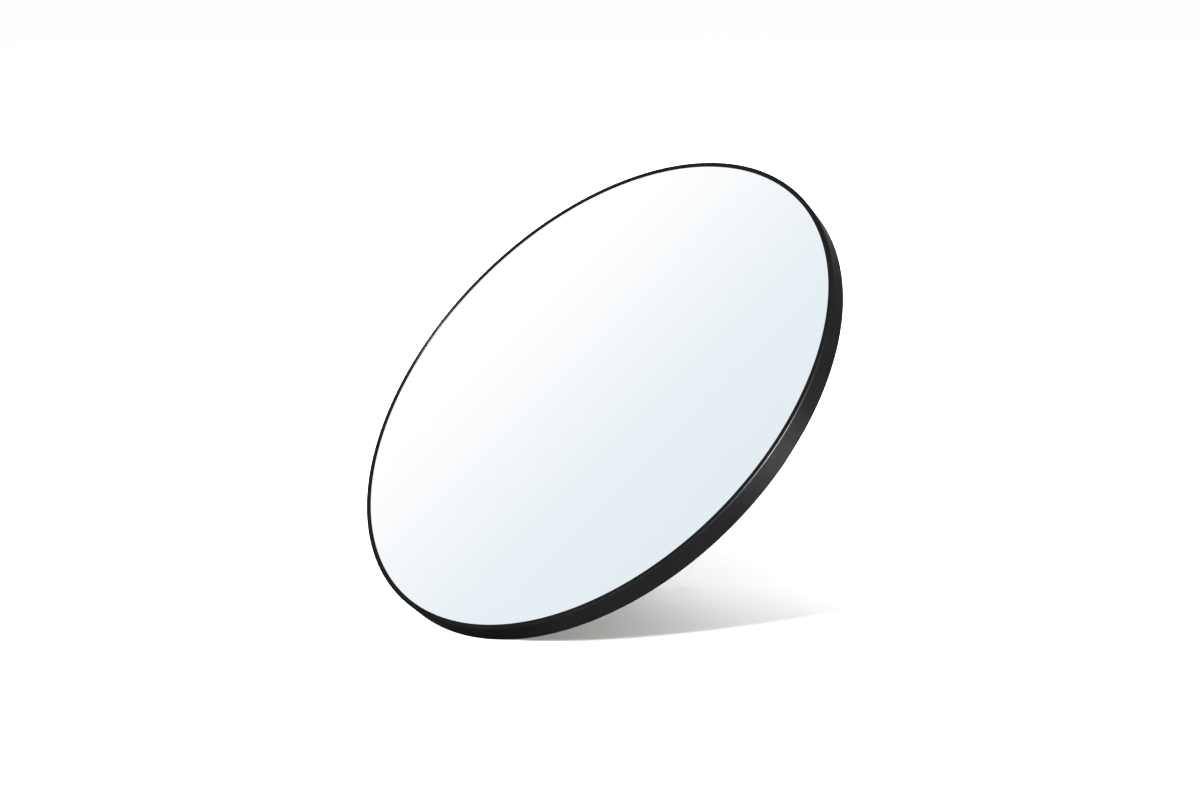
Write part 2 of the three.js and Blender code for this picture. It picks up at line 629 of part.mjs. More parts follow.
const BOOT_INNER = -5; // face towards the board
const BOOT_OUTER = 8.2;
const BOOT_TALL = 18;
const BOOT_CORNER = 3;
const BOOT_EASE = 2; // chamfers along its upper edges
const BOOT_ROOM = 0.25; // round the steel inside it
const BOOT_SCREW_X = 16;
const BOOT_SCREW_BACK = 10; // above the counter, along the strut
const BOOT_SCREW_LENGTH = 7;
const bootScrews = bothSides((side) => [side * BOOT_SCREW_X, strutReach - BOOT_SCREW_BACK]);

function strutBoot() {
  const soleY = (z) => strutReach + z * Math.tan(lean);
  const top = strutReach - BOOT_TALL;
  const side = points([
    [soleY(BOOT_INNER), BOOT_INNER], [soleY(BOOT_OUTER), BOOT_OUTER],
    [top + BOOT_EASE, BOOT_OUTER], [top, BOOT_OUTER - BOOT_EASE],
    [top, BOOT_INNER + BOOT_EASE], [top + BOOT_EASE, BOOT_INNER],
  ]);
  const half = STRUT_FOOT_HALF + BOOT_WALL;
  // The plan runs on at both ends, so that its corners only round the boot's upright edges.
  const plan = roundedBox(half, top - BOOT_CORNER - OVER, strutReach + 2 * BOOT_CORNER, BOOT_CORNER);
  const body = rail(side, -half, half).intersect(slab(plan, BOOT_INNER - OVER, BOOT_OUTER + OVER));
  const end = strutEnd + BOOT_ROOM;
  const outer = STRUT_FOOT_HALF + BOOT_ROOM;
  const inner = STRUT_FOOT_HALF - SHEET - BOOT_ROOM;
  const high = WEB_TOP + BOOT_ROOM;
  const web = block(-outer, outer, top - OVER, end, webLow - BOOT_ROOM, high);
  const flanges = bothSides((s) =>
    block(...span(s, inner, outer), top - OVER, end, FLANGE_FOOT_LOW - BOOT_ROOM, high),
  );
  const pilotEnd = BOOT_OUTER - BOOT_SCREW_LENGTH - GAP;
  const pilots = bootScrews.map(([x, y]) => post(PILOT_RADIUS, x, y, pilotEnd, BOOT_OUTER + OVER));
  return cut(body, [web, ...flanges, ...pilots]);
}

// The rubber dot that the folded strut's boot comes to rest on (rear frame).
const BUMPER_RADIUS = 5;
const BUMPER_EASE = 1;
const stowBumper = () => {
  const high = PIN_STANDOFF + BOOT_INNER - GAP;
  const profile = points([
    [0, PLATE_LIFT], [BUMPER_RADIUS, PLATE_LIFT], [BUMPER_RADIUS, high - BUMPER_EASE],
    [BUMPER_RADIUS - BUMPER_EASE, high], [0, high],
  ]);
  return revolve(profile, SMALL_ROUND, false);
};

// ---------------------------------------------------------------- assembly
function buildHead() {
  const head = new THREE.Group();
  head.add(piece("frame_ring", frameRing(), satinBlack));
  head.add(piece("splice_key", spliceKey(), zincPlate));
  head.add(piece("glass_edge_tape", glassEdgeTape(), blackTape));
  head.add(piece("mirror_glass", disc(GLASS_RADIUS, glassBack, glassFront), silvered));
  head.add(piece("backing_film", sheet(filmBack, filmFront), paleFilm));
  head.add(piece("foam_sheet", sheet(boardFront + FIT, filmBack - FIT), whiteFoam));
  head.add(piece("backing_board", backingBoard(), fibreboard));
  head.add(piece("front_foot", frontFoot(), blackRubber));
  bothSides((side) => {
    const name = side < 0 ? "left" : "right";
    const jointSeat = -FRAME_DEPTH - FIT;
    const footSeat = boardBack - GAP - TAB_THICKNESS - FIT;
    const jointX = side * JOINT_SCREW_X;
    const footX = side * FOOT_SCREW_X;
    const screws = [
      screwAt(`joint_screw_${name}`, JOINT_SCREW_LENGTH, jointX, JOINT_SCREW_Y, jointSeat),
      screwAt(`foot_screw_${name}`, FOOT_SCREW_LENGTH, footX, FOOT_SCREW_Y, footSeat),
    ];
    screws.forEach((screw) => {
      screw.rotation.y = Math.PI;
      head.add(screw);
    });
  });
  return head;
}

function buildRear() {
  const rear = new THREE.Group();
  const seat = plateTop + FIT;
  rear.add(piece("hinge_bracket", hingeBracket(), satinBlack));
  bracketScrews.forEach(([x, y], i) => {
    rear.add(screwAt(`bracket_screw_${i + 1}`, BOARD_SCREW_LENGTH, x, y, seat));
  });
  rear.add(piece("guide_plate", guidePlate(), zincPlate));
  guideScrews.forEach(([x, y], i) => {
    rear.add(screwAt(`guide_screw_${i + 1}`, BOARD_SCREW_LENGTH, x, y, seat));
  });
  const pin = new THREE.Group();
  pin.position.z = PIN_STANDOFF;
  pin.add(piece("hinge_pin", hingePin(), zincPlate));
  pin.add(piece("hinge_clip", hingeClip(), zincPlate));
  bothSides((side) => {
    const name = side < 0 ? "left" : "right";
    const washer = piece(`hinge_washer_${name}`, hingeWasher(), blackNylon);
    [washer.position.x] = span(side, BRACKET_HALF + WASHER_GAP, washerEnd);
    pin.add(washer);
  });
  const bumper = piece("stow_bumper", stowBumper(), blackRubber);
  bumper.position.y = strutReach - BOOT_TALL / 2;
  rear.add(pin, bumper);
  return rear;
}

function buildStrut() {
  const group = new THREE.Group();
  group.add(piece("strut", strut(), satinBlack));
  group.add(piece("strut_boot", strutBoot(), blackRubber));
  bootScrews.forEach(([x, y], i) => {
    const side = ["right", "left"][i];
    group.add(screwAt(`boot_screw_${side}`, BOOT_SCREW_LENGTH, x, y, BOOT_OUTER + FIT));
  });
  const pin = piece("stay_pin", rivetPin(PIVOT_EAR_INNER + SHEET), zincPlate);
  pin.position.y = STAY_LENGTH;
  group.add(pin);
  return group;
}

function buildStay() {
  const group = new THREE.Group();
  group.add(piece("stay_bar", stayBar(), zincPlate));
  const pin = piece("slider_pin", rivetPin(CHEEK_OUTER), zincPlate);
  pin.position.y = STAY_LENGTH;
  group.add(pin);
  return group;
}

function buildSlider() {
  const group = new THREE.Group();
  group.add(piece("slider", slider(), blackNylon));
  group.add(piece("slider_keeper", sliderKeeper(), zincPlate));
  return group;
}

function buildMirror() {
  const mirror = new THREE.Group();
  const head = buildHead();
  head.position.set(0, headY, headHeight);
  head.rotation.x = RECLINE;

  const rear = buildRear();
  rear.position.z = boardBack;
  rear.rotation.x = Math.PI;
  head.add(rear);

  const openStrut = buildStrut();
  openStrut.position.z = PIN_STANDOFF;
  openStrut.rotation.x = OPEN_ANGLE;

  const stay = buildStay();
  const pivotY = STAY_LENGTH * Math.cos(OPEN_ANGLE);
  stay.position.set(0, pivotY, PIN_STANDOFF + STAY_LENGTH * Math.sin(OPEN_ANGLE));
  stay.rotation.x = -OPEN_ANGLE;

  const openSlider = buildSlider();
  openSlider.position.set(0, sliderOpen, PIN_STANDOFF);
  rear.add(openStrut, stay, openSlider);

  mirror.add(head);
  return mirror;
}

export default buildMirror();
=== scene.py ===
# A round countertop mirror in a satin black rim, leaning back on a fold-out strut: the looks.
#
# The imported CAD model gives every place. Lengths here are millimetres in five nested frames, which are turned
# into the row's metres when a piece is placed:
#   HEAD    x right, y up the glass, z out of the front; z = 0 is the front of the rim
#   REAR    x right, y down the back from the hinge, z backwards from the backing board
#   STRUT   x right, y down the strut from the hinge, z away from the board when folded
#   STAY    the same for the stay bar, from its pivot on the strut
#   SLIDER  the same as REAR, from the slider's pin
import json
import math

import bmesh
import bpy
from mathutils import Matrix, Vector


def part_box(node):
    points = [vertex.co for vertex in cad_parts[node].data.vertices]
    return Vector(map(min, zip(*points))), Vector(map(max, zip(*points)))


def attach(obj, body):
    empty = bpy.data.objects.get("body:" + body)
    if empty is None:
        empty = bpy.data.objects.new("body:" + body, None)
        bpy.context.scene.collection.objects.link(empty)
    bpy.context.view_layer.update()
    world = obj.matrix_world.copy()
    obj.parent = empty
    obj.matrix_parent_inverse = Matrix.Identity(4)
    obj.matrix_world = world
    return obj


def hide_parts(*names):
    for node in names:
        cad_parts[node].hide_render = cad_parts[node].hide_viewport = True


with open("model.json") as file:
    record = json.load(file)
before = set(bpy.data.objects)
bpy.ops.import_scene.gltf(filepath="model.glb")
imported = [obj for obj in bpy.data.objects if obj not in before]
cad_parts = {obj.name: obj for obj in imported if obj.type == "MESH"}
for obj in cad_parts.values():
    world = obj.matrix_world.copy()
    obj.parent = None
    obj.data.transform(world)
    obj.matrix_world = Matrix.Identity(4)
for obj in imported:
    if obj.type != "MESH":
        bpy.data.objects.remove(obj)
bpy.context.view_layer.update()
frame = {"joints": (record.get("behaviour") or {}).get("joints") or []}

# ---------------------------------------------------------------- sizes, in millimetres
MM = 0.001
RECLINE = math.radians(47)
OPEN_ANGLE = math.radians(54)
LEAN = OPEN_ANGLE - (math.pi / 2 - RECLINE)

FRAME_DEPTH = 15
WALL = 1.2
LIP_WIDTH = 3.5
LIP_THICKNESS = 0.7
NOSE_RADIUS = 1.2
FLANGE_WIDTH = 9
SEAM_WIDTH = 0.2
FIT = 0.1  # between sheets that lie on each other
GAP = 0.3  # between other neighbours
OVER = 1  # cutters reach this far past what they cut
CLEARANCE_RADIUS = 1.85  # holes that screws pass through
PILOT_RADIUS = 1.6  # holes that screws bite into
PLATE_CORNER = 3  # corner radius of the screwed plates
ROUND = 384  # segments round the rim, the glass and what lies in the rim
SHEET_ROUND = 256  # segments round the board, the film and the foam
SLIVER = 0.01  # an outline that only rounds corners is this much wider than what it rounds
HOLD = 0.15  # flat faces keep their own shading up to this far from a rounded edge
GLASS_RADIUS = 197.8
GLASS_THICKNESS = 4
FILM_THICKNESS = 0.3
TAPE_THICKNESS = 0.5
SHEET_INSET = 0.6  # the film and the foam are this much smaller in radius than the glass
BOARD_RADIUS = 198.3
BOARD_THICKNESS = 6
KEY_THICKNESS = 2.9
KEY_HALF_WIDTH = 36
KEY_HALF_ROOM = 38
JOINT_SCREW_RADIUS = 195.4
JOINT_SCREW_X = 28
JOINT_SCREW_Y = -math.sqrt(JOINT_SCREW_RADIUS**2 - JOINT_SCREW_X**2)
FOOT_SCREW_X = 9
FOOT_SCREW_Y = -182.5

PIN_STANDOFF = 8
STAY_LENGTH = 52
SHEET = 1.5
PLATE_LIFT = 0.2
STRUT_TOP_HALF = 19
STRUT_FOOT_HALF = 23.5
WEB_TOP = 5.7

ring_low, ring_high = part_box("frame_ring")
FRAME_RADIUS = (ring_high[0] - ring_low[0]) / 2 / MM
hinge = Vector(next(j for j in frame["joints"] if j["name"] == "strut_fold")["pos_m"])
STRUT_REACH = hinge.z / MM / math.cos(LEAN)

# ---------------------------------------------------------------- the five frames
BOARD_BACK = -(FRAME_DEPTH - WALL) + FIT
MILLIMETRES = Matrix.Scale(MM, 4)


def moved(x, y, z, turn=0):
    """A shift in millimetres and then a turn about x."""
    return Matrix.Translation((x, y, z)) @ Matrix.Rotation(turn, 4, "X")


HINGE_IN_HEAD = moved(0, 0, BOARD_BACK - PIN_STANDOFF)
HEAD = (
    Matrix.Translation(hinge)
    @ MILLIMETRES
    @ Matrix.Rotation(RECLINE, 4, "X")
    @ HINGE_IN_HEAD.inverted()
)
REAR = HEAD @ moved(0, 0, BOARD_BACK, math.pi)
STRUT = REAR @ moved(0, 0, PIN_STANDOFF, OPEN_ANGLE)
STAY = REAR @ moved(
    0, STAY_LENGTH * math.cos(OPEN_ANGLE), PIN_STANDOFF + STAY_LENGTH * math.sin(OPEN_ANGLE), -OPEN_ANGLE
)
SLIDER_OPEN = 2 * STAY_LENGTH * math.cos(OPEN_ANGLE)
SLIDER_FOLDED = 2 * STAY_LENGTH
SLIDER = REAR @ moved(0, SLIDER_OPEN, PIN_STANDOFF)

# ---------------------------------------------------------------- camera
CAMERA_AZIMUTH = math.radians(50.64)
CAMERA_ELEVATION = math.radians(12.74)
CAMERA_DISTANCE = 1.1898
CAMERA_AIM = Vector((0.0066, 0.0045, 0.1421))


def add_camera():
    camera = bpy.data.objects.new("camera", bpy.data.cameras.new("camera"))
    back = Vector(
        (
            math.sin(CAMERA_AZIMUTH) * math.cos(CAMERA_ELEVATION),
            -math.cos(CAMERA_AZIMUTH) * math.cos(CAMERA_ELEVATION),
            math.sin(CAMERA_ELEVATION),
        )
    )
    camera.location = CAMERA_AIM + back * CAMERA_DISTANCE
    camera.rotation_euler = (math.pi / 2 - CAMERA_ELEVATION, 0, CAMERA_AZIMUTH)
    camera.data.lens = 50
    camera.data.sensor_width = 36
    bpy.context.scene.collection.objects.link(camera)
    bpy.context.scene.camera = camera


add_camera()


# ---------------------------------------------------------------- mesh building
def arc(x, y, radius, start, stop, steps):
    """Points of an arc about (x, y), both ends included, angles in degrees."""
    angles = [math.radians(start + (stop - start) * i / steps) for i in range(steps + 1)]
    return [(x + radius * math.cos(a), y + radius * math.sin(a)) for a in angles]


def circle(x, y, radius, steps):
    return arc(x, y, radius, 0, 360, steps)[:-1]


def rounded_box(half_x, y0, y1, radius, steps=8):
    """The outline of a box about x = 0 with round corners."""
    x = half_x - radius
    return (
        arc(x, y1 - radius, radius, 0, 90, steps)
        + arc(-x, y1 - radius, radius, 90, 180, steps)
        + arc(-x, y0 + radius, radius, 180, 270, steps)
        + arc(x, y0 + radius, radius, 270, 360, steps)
    )


def new_object(name, bm):
    bmesh.ops.remove_doubles(bm, verts=bm.verts, dist=1e-5)
    bmesh.ops.recalc_face_normals(bm, faces=bm.faces)
    mesh = bpy.data.meshes.new(name)
    bm.to_mesh(mesh)
    bm.free()
    obj = bpy.data.objects.new(name, mesh)
    bpy.context.scene.collection.objects.link(obj)
    return obj


def loft(sections, name="loft"):
    """A closed body through rings of 3-D points, with a flat cap at each end."""
    bm = bmesh.new()
    rings = [[bm.verts.new(p) for p in section] for section in sections]
    count = len(rings[0])
    for low, high in zip(rings, rings[1:]):
        for i in range(count):
            j = (i + 1) % count
            bm.faces.new((low[i], low[j], high[j], high[i]))
    bm.faces.new(rings[0])
    bm.faces.new(rings[-1])
    return new_object(name, bm)


def slab(outline, low, high):
    """An outline of (x, y) points from z = low to z = high."""
    return loft([[(x, y, z) for x, y in outline] for z in (low, high)])


def rail(outline, low, high):
    """An outline of (y, z) points from x = low to x = high."""
    return loft([[(x, y, z) for y, z in outline] for x in (low, high)])


def block(x0, x1, y0, y1, z0, z1):
    return slab([(x0, y0), (x1, y0), (x1, y1), (x0, y1)], z0, z1)


def turned(profile, segments, closed=False, seam=0.0):
    """(radius, z) points turned about z. An open profile starts and ends on the axis. A seam, in degrees, is
    left open at the bottom of the turn, at -y, and its two ends are capped."""
    bm = bmesh.new()
    steps = segments + 1 if seam else segments
    sweep = 360 - seam
    rings = []
    for radius, z in profile:
        if radius < 1e-6:
            rings.append([bm.verts.new((0, 0, z))] * steps)
            continue
        angles = [math.radians(-90 + seam / 2 + sweep * i / segments) for i in range(steps)]
        rings.append([bm.verts.new((radius * math.cos(a), radius * math.sin(a), z)) for a in angles])
    pairs = list(zip(rings, rings[1:]))
    if closed:
        pairs.append((rings[-1], rings[0]))
    for low, high in pairs:
        for i in range(segments):
            j = (i + 1) % steps
            corners = dict.fromkeys((low[i], low[j], high[j], high[i]))
            if len(corners) > 2:
                bm.faces.new(list(corners))
    if seam:
        bm.faces.new([ring[0] for ring in rings])
        bm.faces.new([ring[-1] for ring in rings])
    return new_object("turned", bm)


def boolean(base, others, operation):
    """Joins, cuts or intersects base with the others, which are used up."""
    for other in others:
        step = base.modifiers.new("step", "BOOLEAN")
        step.operation = operation
        step.solver = "EXACT"
        step.object = other
    depsgraph = bpy.context.evaluated_depsgraph_get()
    base.data = bpy.data.meshes.new_from_object(base.evaluated_get(depsgraph))
    base.modifiers.clear()
    for other in others:
        bpy.data.objects.remove(other)
    return base


def join(base, *others):
    return boolean(base, others, "UNION")


def cut(base, *others):
    return boolean(base, others, "DIFFERENCE")


def keep(base, *others):
    return boolean(base, others, "INTERSECT")


def carried(obj, matrix):
    """The same object, with its mesh moved by a matrix."""
    obj.data.transform(matrix)
    return obj


def rod(radius, y, z, low, high, steps=40):
    """A round bar along x."""
    return rail(circle(y, z, radius, steps), low, high)


def place(obj, name, where, body, material, bevel=0.0, nodes=None, smooth=40):
    """Puts a finished shape into the row's frame as the piece that stands for its CAD node."""
    obj.name = name + "_piece"
    obj.data.name = obj.name
    obj.data.transform(where)
    obj.data.materials.clear()
    for one in material if isinstance(material, list) else [material]:
        obj.data.materials.append(one)
    obj.data.shade_smooth()
    obj.data.set_sharp_from_angle(angle=math.radians(smooth))
    if bevel:
        edge = obj.modifiers.new("edge", "BEVEL")
        edge.width = bevel * MM
        edge.segments = 3
        edge.limit_method = "ANGLE"
        edge.angle_limit = math.radians(35)
        edge.harden_normals = True
    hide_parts(*(nodes or [name]))
    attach(obj, body)
    return obj


# ---------------------------------------------------------------- materials
def shader(name, color, roughness, metallic=0.0, specular=0.5):
    """A new material and its Principled shader, with its own numbers set on the sockets."""
    material = bpy.data.materials.new(name)
    material.use_nodes = True
    bsdf = material.node_tree.nodes["Principled BSDF"]
    bsdf.inputs["Base Color"].default_value = (*color, 1)
    bsdf.inputs["Roughness"].default_value = roughness
    bsdf.inputs["Metallic"].default_value = metallic
    bsdf.inputs["Specular IOR Level"].default_value = specular
    return material, bsdf


def noise(material, scale, detail=4.0, stretch=(1, 1, 1), distortion=0.0):
    """A noise texture in the piece's own metres; scale is features per metre."""
    nodes, links = material.node_tree.nodes, material.node_tree.links
    coordinates = nodes.new("ShaderNodeTexCoord")
    mapping = nodes.new("ShaderNodeMapping")
    mapping.inputs["Scale"].default_value = stretch
    texture = nodes.new("ShaderNodeTexNoise")
    texture.inputs["Scale"].default_value = scale
    texture.inputs["Detail"].default_value = detail
    texture.inputs["Distortion"].default_value = distortion
    links.new(coordinates.outputs["Object"], mapping.inputs["Vector"])
    links.new(mapping.outputs["Vector"], texture.inputs["Vector"])
    return texture.outputs["Fac"]


def ramp(material, value, stops):
    """A colour ramp over (position, colour) stops."""
    node = material.node_tree.nodes.new("ShaderNodeValToRGB")
    while len(node.color_ramp.elements) < len(stops):
        node.color_ramp.elements.new(0.5)
    for element, (position, color) in zip(node.color_ramp.elements, stops):
        element.position = position
        element.color = (*color, 1)
    material.node_tree.links.new(value, node.inputs["Fac"])
    return node.outputs["Color"]


def spread(material, value, low, high, start=0.3, stop=0.7):
    """Maps a noise's usual range onto low to high."""
    node = material.node_tree.nodes.new("ShaderNodeMapRange")
    node.inputs["From Min"].default_value = start
    node.inputs["From Max"].default_value = stop
    node.inputs["To Min"].default_value = low
    node.inputs["To Max"].default_value = high
    material.node_tree.links.new(value, node.inputs["Value"])
    return node.outputs["Result"]


def bump(material, bsdf, value, distance, strength=1.0):
    """Bump of a given height in millimetres."""
    node = material.node_tree.nodes.new("ShaderNodeBump")
    node.inputs["Distance"].default_value = distance * MM
    node.inputs["Strength"].default_value = strength
    material.node_tree.links.new(value, node.inputs["Height"])
    material.node_tree.links.new(node.outputs["Normal"], bsdf.inputs["Normal"])


def dress(material, bsdf, color=None, roughness=None):
    links = material.node_tree.links
    if color is not None:
        links.new(color, bsdf.inputs["Base Color"])
    if roughness is not None:
        links.new(roughness, bsdf.inputs["Roughness"])
    return material


def satin_black():
    """Fine satin coat on the rim, half metallic, and no brighter when seen at a shallow angle."""
    material, bsdf = shader("satin_black", (0.012, 0.012, 0.0124), 0.345, metallic=0.5, specular=0.0)
    bsdf.inputs["Specular Tint"].default_value = (0.5, 0.5, 0.5, 1)
    stops = [(0.3, (0.0108, 0.0108, 0.0112)), (0.7, (0.0134, 0.0134, 0.0139))]
    tone = ramp(material, noise(material, 40), stops)
    bump(material, bsdf, noise(material, 1800, 2), 0.006, 0.4)
    return dress(material, bsdf, tone, spread(material, noise(material, 120), 0.32, 0.37))


def grained_black():
    """Coarser powder coat on the pressed steel."""
    material, bsdf = shader("grained_black", (0.012, 0.012, 0.013), 0.5, specular=0.35)
    grain = noise(material, 1400, 3)
    tone = ramp(material, grain, [(0.35, (0.008, 0.008, 0.009)), (0.7, (0.018, 0.018, 0.02))])
    bump(material, bsdf, grain, 0.05, 0.8)
    return dress(material, bsdf, tone, spread(material, noise(material, 90), 0.44, 0.56))


def mirror_front():
    """Silver seen through clear float glass: a faint blue-green tint, and hardly any haze."""
    material, bsdf = shader("mirror_front", (0.95, 0.975, 0.98), 0.015, metallic=1.0)
    haze = spread(material, noise(material, 9, 6, distortion=0.6), 0.008, 0.03, 0.35, 0.75)
    return dress(material, bsdf, roughness=haze)


def glass_edge():
    """The ground edge of float glass."""
    material, bsdf = shader("glass_edge", (0.12, 0.3, 0.25), 0.3, specular=0.6)
    tone = ramp(material, noise(material, 300), [(0.3, (0.08, 0.22, 0.18)), (0.7, (0.16, 0.36, 0.3))])
    return dress(material, bsdf, tone)


def back_paint():
    """Grey protective paint behind the silver."""
    material, bsdf = shader("back_paint", (0.2, 0.22, 0.24), 0.5)
    tone = ramp(material, noise(material, 60), [(0.3, (0.18, 0.2, 0.22)), (0.7, (0.23, 0.25, 0.27))])
    return dress(material, bsdf, tone)


def fibreboard():
    """Fine grey-brown fibre with a pressed skin."""
    material, bsdf = shader("fibreboard", (0.27, 0.17, 0.095), 0.8, specular=0.25)
    fibre = noise(material, 900, 8, (1, 0.45, 0.45), 1.5)
    cloud = noise(material, 18, 5)
    mix = material.node_tree.nodes.new("ShaderNodeMix")
    mix.data_type = "FLOAT"
    mix.inputs["Factor"].default_value = 0.35
    material.node_tree.links.new(fibre, mix.inputs["A"])
    material.node_tree.links.new(cloud, mix.inputs["B"])
    tone = ramp(
        material,
        mix.outputs["Result"],
        [(0.3, (0.09, 0.076, 0.062)), (0.5, (0.15, 0.13, 0.108)), (0.72, (0.24, 0.212, 0.18))],
    )
    bump(material, bsdf, fibre, 0.08, 0.6)
    return dress(material, bsdf, tone, spread(material, cloud, 0.72, 0.88))


def zinc():
    """Bright zinc plate with its faint cloudy tint."""
    material, bsdf = shader("zinc", (0.6, 0.62, 0.64), 0.3, metallic=1.0)
    cloud = noise(material, 260, 4)
    stops = [(0.3, (0.5, 0.53, 0.57)), (0.55, (0.62, 0.63, 0.63)), (0.75, (0.66, 0.63, 0.56))]
    tone = ramp(material, cloud, stops)
    bump(material, bsdf, noise(material, 2500, 2), 0.01, 0.4)
    return dress(material, bsdf, tone, spread(material, noise(material, 500), 0.22, 0.38))


def rolled_aluminium():
    """Mill-finish aluminium with its rolling lines."""
    material, bsdf = shader("rolled_aluminium", (0.7, 0.7, 0.71), 0.35, metallic=1.0)
    lines = noise(material, 500, 3, (0.02, 1, 1))
    bump(material, bsdf, lines, 0.01, 0.4)
    return dress(material, bsdf, roughness=spread(material, lines, 0.28, 0.42))


def rubber():
    """Moulded black rubber, slightly dusty."""
    material, bsdf = shader("rubber", (0.016, 0.016, 0.016), 0.75, specular=0.3)
    dust = noise(material, 160, 6)
    tone = ramp(material, dust, [(0.35, (0.011, 0.011, 0.011)), (0.75, (0.03, 0.029, 0.028))])
    bump(material, bsdf, noise(material, 2200, 3), 0.03, 0.7)
    return dress(material, bsdf, tone, spread(material, dust, 0.68, 0.85))


def nylon():
    """Moulded black nylon."""
    material, bsdf = shader("nylon", (0.02, 0.02, 0.022), 0.42, specular=0.45)
    flow = noise(material, 200, 3)
    bump(material, bsdf, noise(material, 3000, 2), 0.01, 0.5)
    tone = ramp(material, flow, [(0.3, (0.016, 0.016, 0.018)), (0.7, (0.027, 0.027, 0.03))])
    return dress(material, bsdf, tone, spread(material, flow, 0.36, 0.5))


def foam():
    """White closed-cell foam."""
    material, bsdf = shader("foam", (0.8, 0.8, 0.77), 0.9, specular=0.2)
    cells = noise(material, 1500, 2)
    bump(material, bsdf, cells, 0.1, 0.8)
    tone = ramp(material, cells, [(0.3, (0.68, 0.68, 0.65)), (0.6, (0.84, 0.84, 0.81))])
    return dress(material, bsdf, tone)


def film():
    """Woven-backed shatter film."""
    material, bsdf = shader("film", (0.3, 0.33, 0.36), 0.5, specular=0.4)
    weave = noise(material, 700, 2)
    tone = ramp(material, weave, [(0.3, (0.24, 0.27, 0.3)), (0.7, (0.35, 0.38, 0.41))])
    return dress(material, bsdf, tone)


def tape():
    """Black cloth tape."""
    material, bsdf = shader("tape", (0.014, 0.014, 0.014), 0.85, specular=0.2)
    cloth = noise(material, 1200, 2)
    bump(material, bsdf, cloth, 0.05, 0.7)
    tone = ramp(material, cloth, [(0.3, (0.01, 0.01, 0.01)), (0.7, (0.022, 0.022, 0.022))])
    return dress(material, bsdf, tone)


SATIN_BLACK = satin_black()
GRAINED_BLACK = grained_black()
ZINC = zinc()
RUBBER = rubber()
NYLON = nylon()


# ---------------------------------------------------------------- rim, glass and board
def add_rim():
    outer = FRAME_RADIUS
    lip_edge = outer - LIP_WIDTH
    flange_edge = outer - FLANGE_WIDTH
    flange_front = -(FRAME_DEPTH - WALL)
    soft = 0.25  # radius of the small inner edges
    rear = 0.86  # radius of the rear outer edge
    nose_start = outer - NOSE_RADIUS
    rear_start = -FRAME_DEPTH + rear
    profile = (
        [(lip_edge, -LIP_THICKNESS)]
        + arc(lip_edge + soft, -soft, soft, 180, 90, 5)
        + [(lip_edge + soft + HOLD, 0), (nose_start - HOLD, 0)]
        + arc(nose_start, -NOSE_RADIUS, NOSE_RADIUS, 90, 0, 16)
        + [(outer, -NOSE_RADIUS - HOLD), (outer, rear_start + HOLD)]
        + arc(outer - rear, rear_start, rear, 0, -90, 10)
        + [(outer - rear - HOLD, -FRAME_DEPTH), (flange_edge + soft + HOLD, -FRAME_DEPTH)]
        + arc(flange_edge + soft, -FRAME_DEPTH + soft, soft, 270, 180, 4)
        + [(flange_edge, flange_front)]
        + arc(outer - WALL - soft, flange_front + soft, soft, -90, 0, 4)
        + [(outer - WALL, -LIP_THICKNESS)]
    )
    seam = math.degrees(SEAM_WIDTH / outer)
    rim = turned(profile, ROUND, closed=True, seam=seam)
    place(rim, "frame_ring", HEAD, "head", SATIN_BLACK)


def add_glass():
    front = -(LIP_THICKNESS + FIT)
    back = front - GLASS_THICKNESS
    arris = 0.4  # width of the ground edge
    profile = [
        (0, back), (GLASS_RADIUS - arris, back), (GLASS_RADIUS, back + arris),
        (GLASS_RADIUS, front - arris), (GLASS_RADIUS - arris, front), (0, front),
    ]
    glass = turned(profile, ROUND)
    for face in glass.data.polygons:
        face.material_index = 0 if face.normal.z > 0.9 else 2 if face.normal.z < -0.9 else 1
    faces = [face.material_index for face in glass.data.polygons]
    materials = [mirror_front(), glass_edge(), back_paint()]
    place(glass, "mirror_glass", HEAD, "head", materials, smooth=20)
    for face, index in zip(glass.data.polygons, faces):
        face.material_index = index
    return glass


def bottom_sector(inner, outer, low, high, half_width):
    """The bottom stretch of a ring about the glass's axis."""
    profile = [(inner, low), (outer, low), (outer, high), (inner, high)]
    stretch = block(-half_width, half_width, -outer - OVER, 0, low - OVER, high + OVER)
    return keep(turned(profile, ROUND, closed=True), stretch)


def add_board():
    front = BOARD_BACK + BOARD_THICKNESS
    soft = 0.4  # radius of its edges
    profile = (
        [(0, BOARD_BACK), (BOARD_RADIUS - soft - HOLD, BOARD_BACK)]
        + arc(BOARD_RADIUS - soft, BOARD_BACK + soft, soft, -90, 0, 4)
        + arc(BOARD_RADIUS - soft, front - soft, soft, 0, 90, 4)
        + [(0, front)]
    )
    rebate_inner = FRAME_RADIUS - FLANGE_WIDTH + 0.7
    rebate_deep = KEY_THICKNESS + 2 * GAP - FIT
    rebate = bottom_sector(
        rebate_inner, BOARD_RADIUS + 2, BOARD_BACK - 1, BOARD_BACK + rebate_deep, KEY_HALF_ROOM
    )
    board = cut(turned(profile, SHEET_ROUND), rebate)
    place(board, "backing_board", HEAD, "head", fibreboard())


def add_splice_key():
    """The aluminium key inside the rim's butt joint."""
    low = -(FRAME_DEPTH - WALL) + GAP
    inner = FRAME_RADIUS - FLANGE_WIDTH + 1.2
    outer = FRAME_RADIUS - WALL - 0.5
    key = bottom_sector(inner, outer, low, low + KEY_THICKNESS, KEY_HALF_WIDTH)
    holes = [
        slab(circle(x, JOINT_SCREW_Y, PILOT_RADIUS, 24), low - OVER, low + KEY_THICKNESS + OVER)
        for x in (-JOINT_SCREW_X, JOINT_SCREW_X)
    ]
    cut(key, *holes)
    place(key, "splice_key", HEAD, "head", rolled_aluminium(), bevel=0.2)


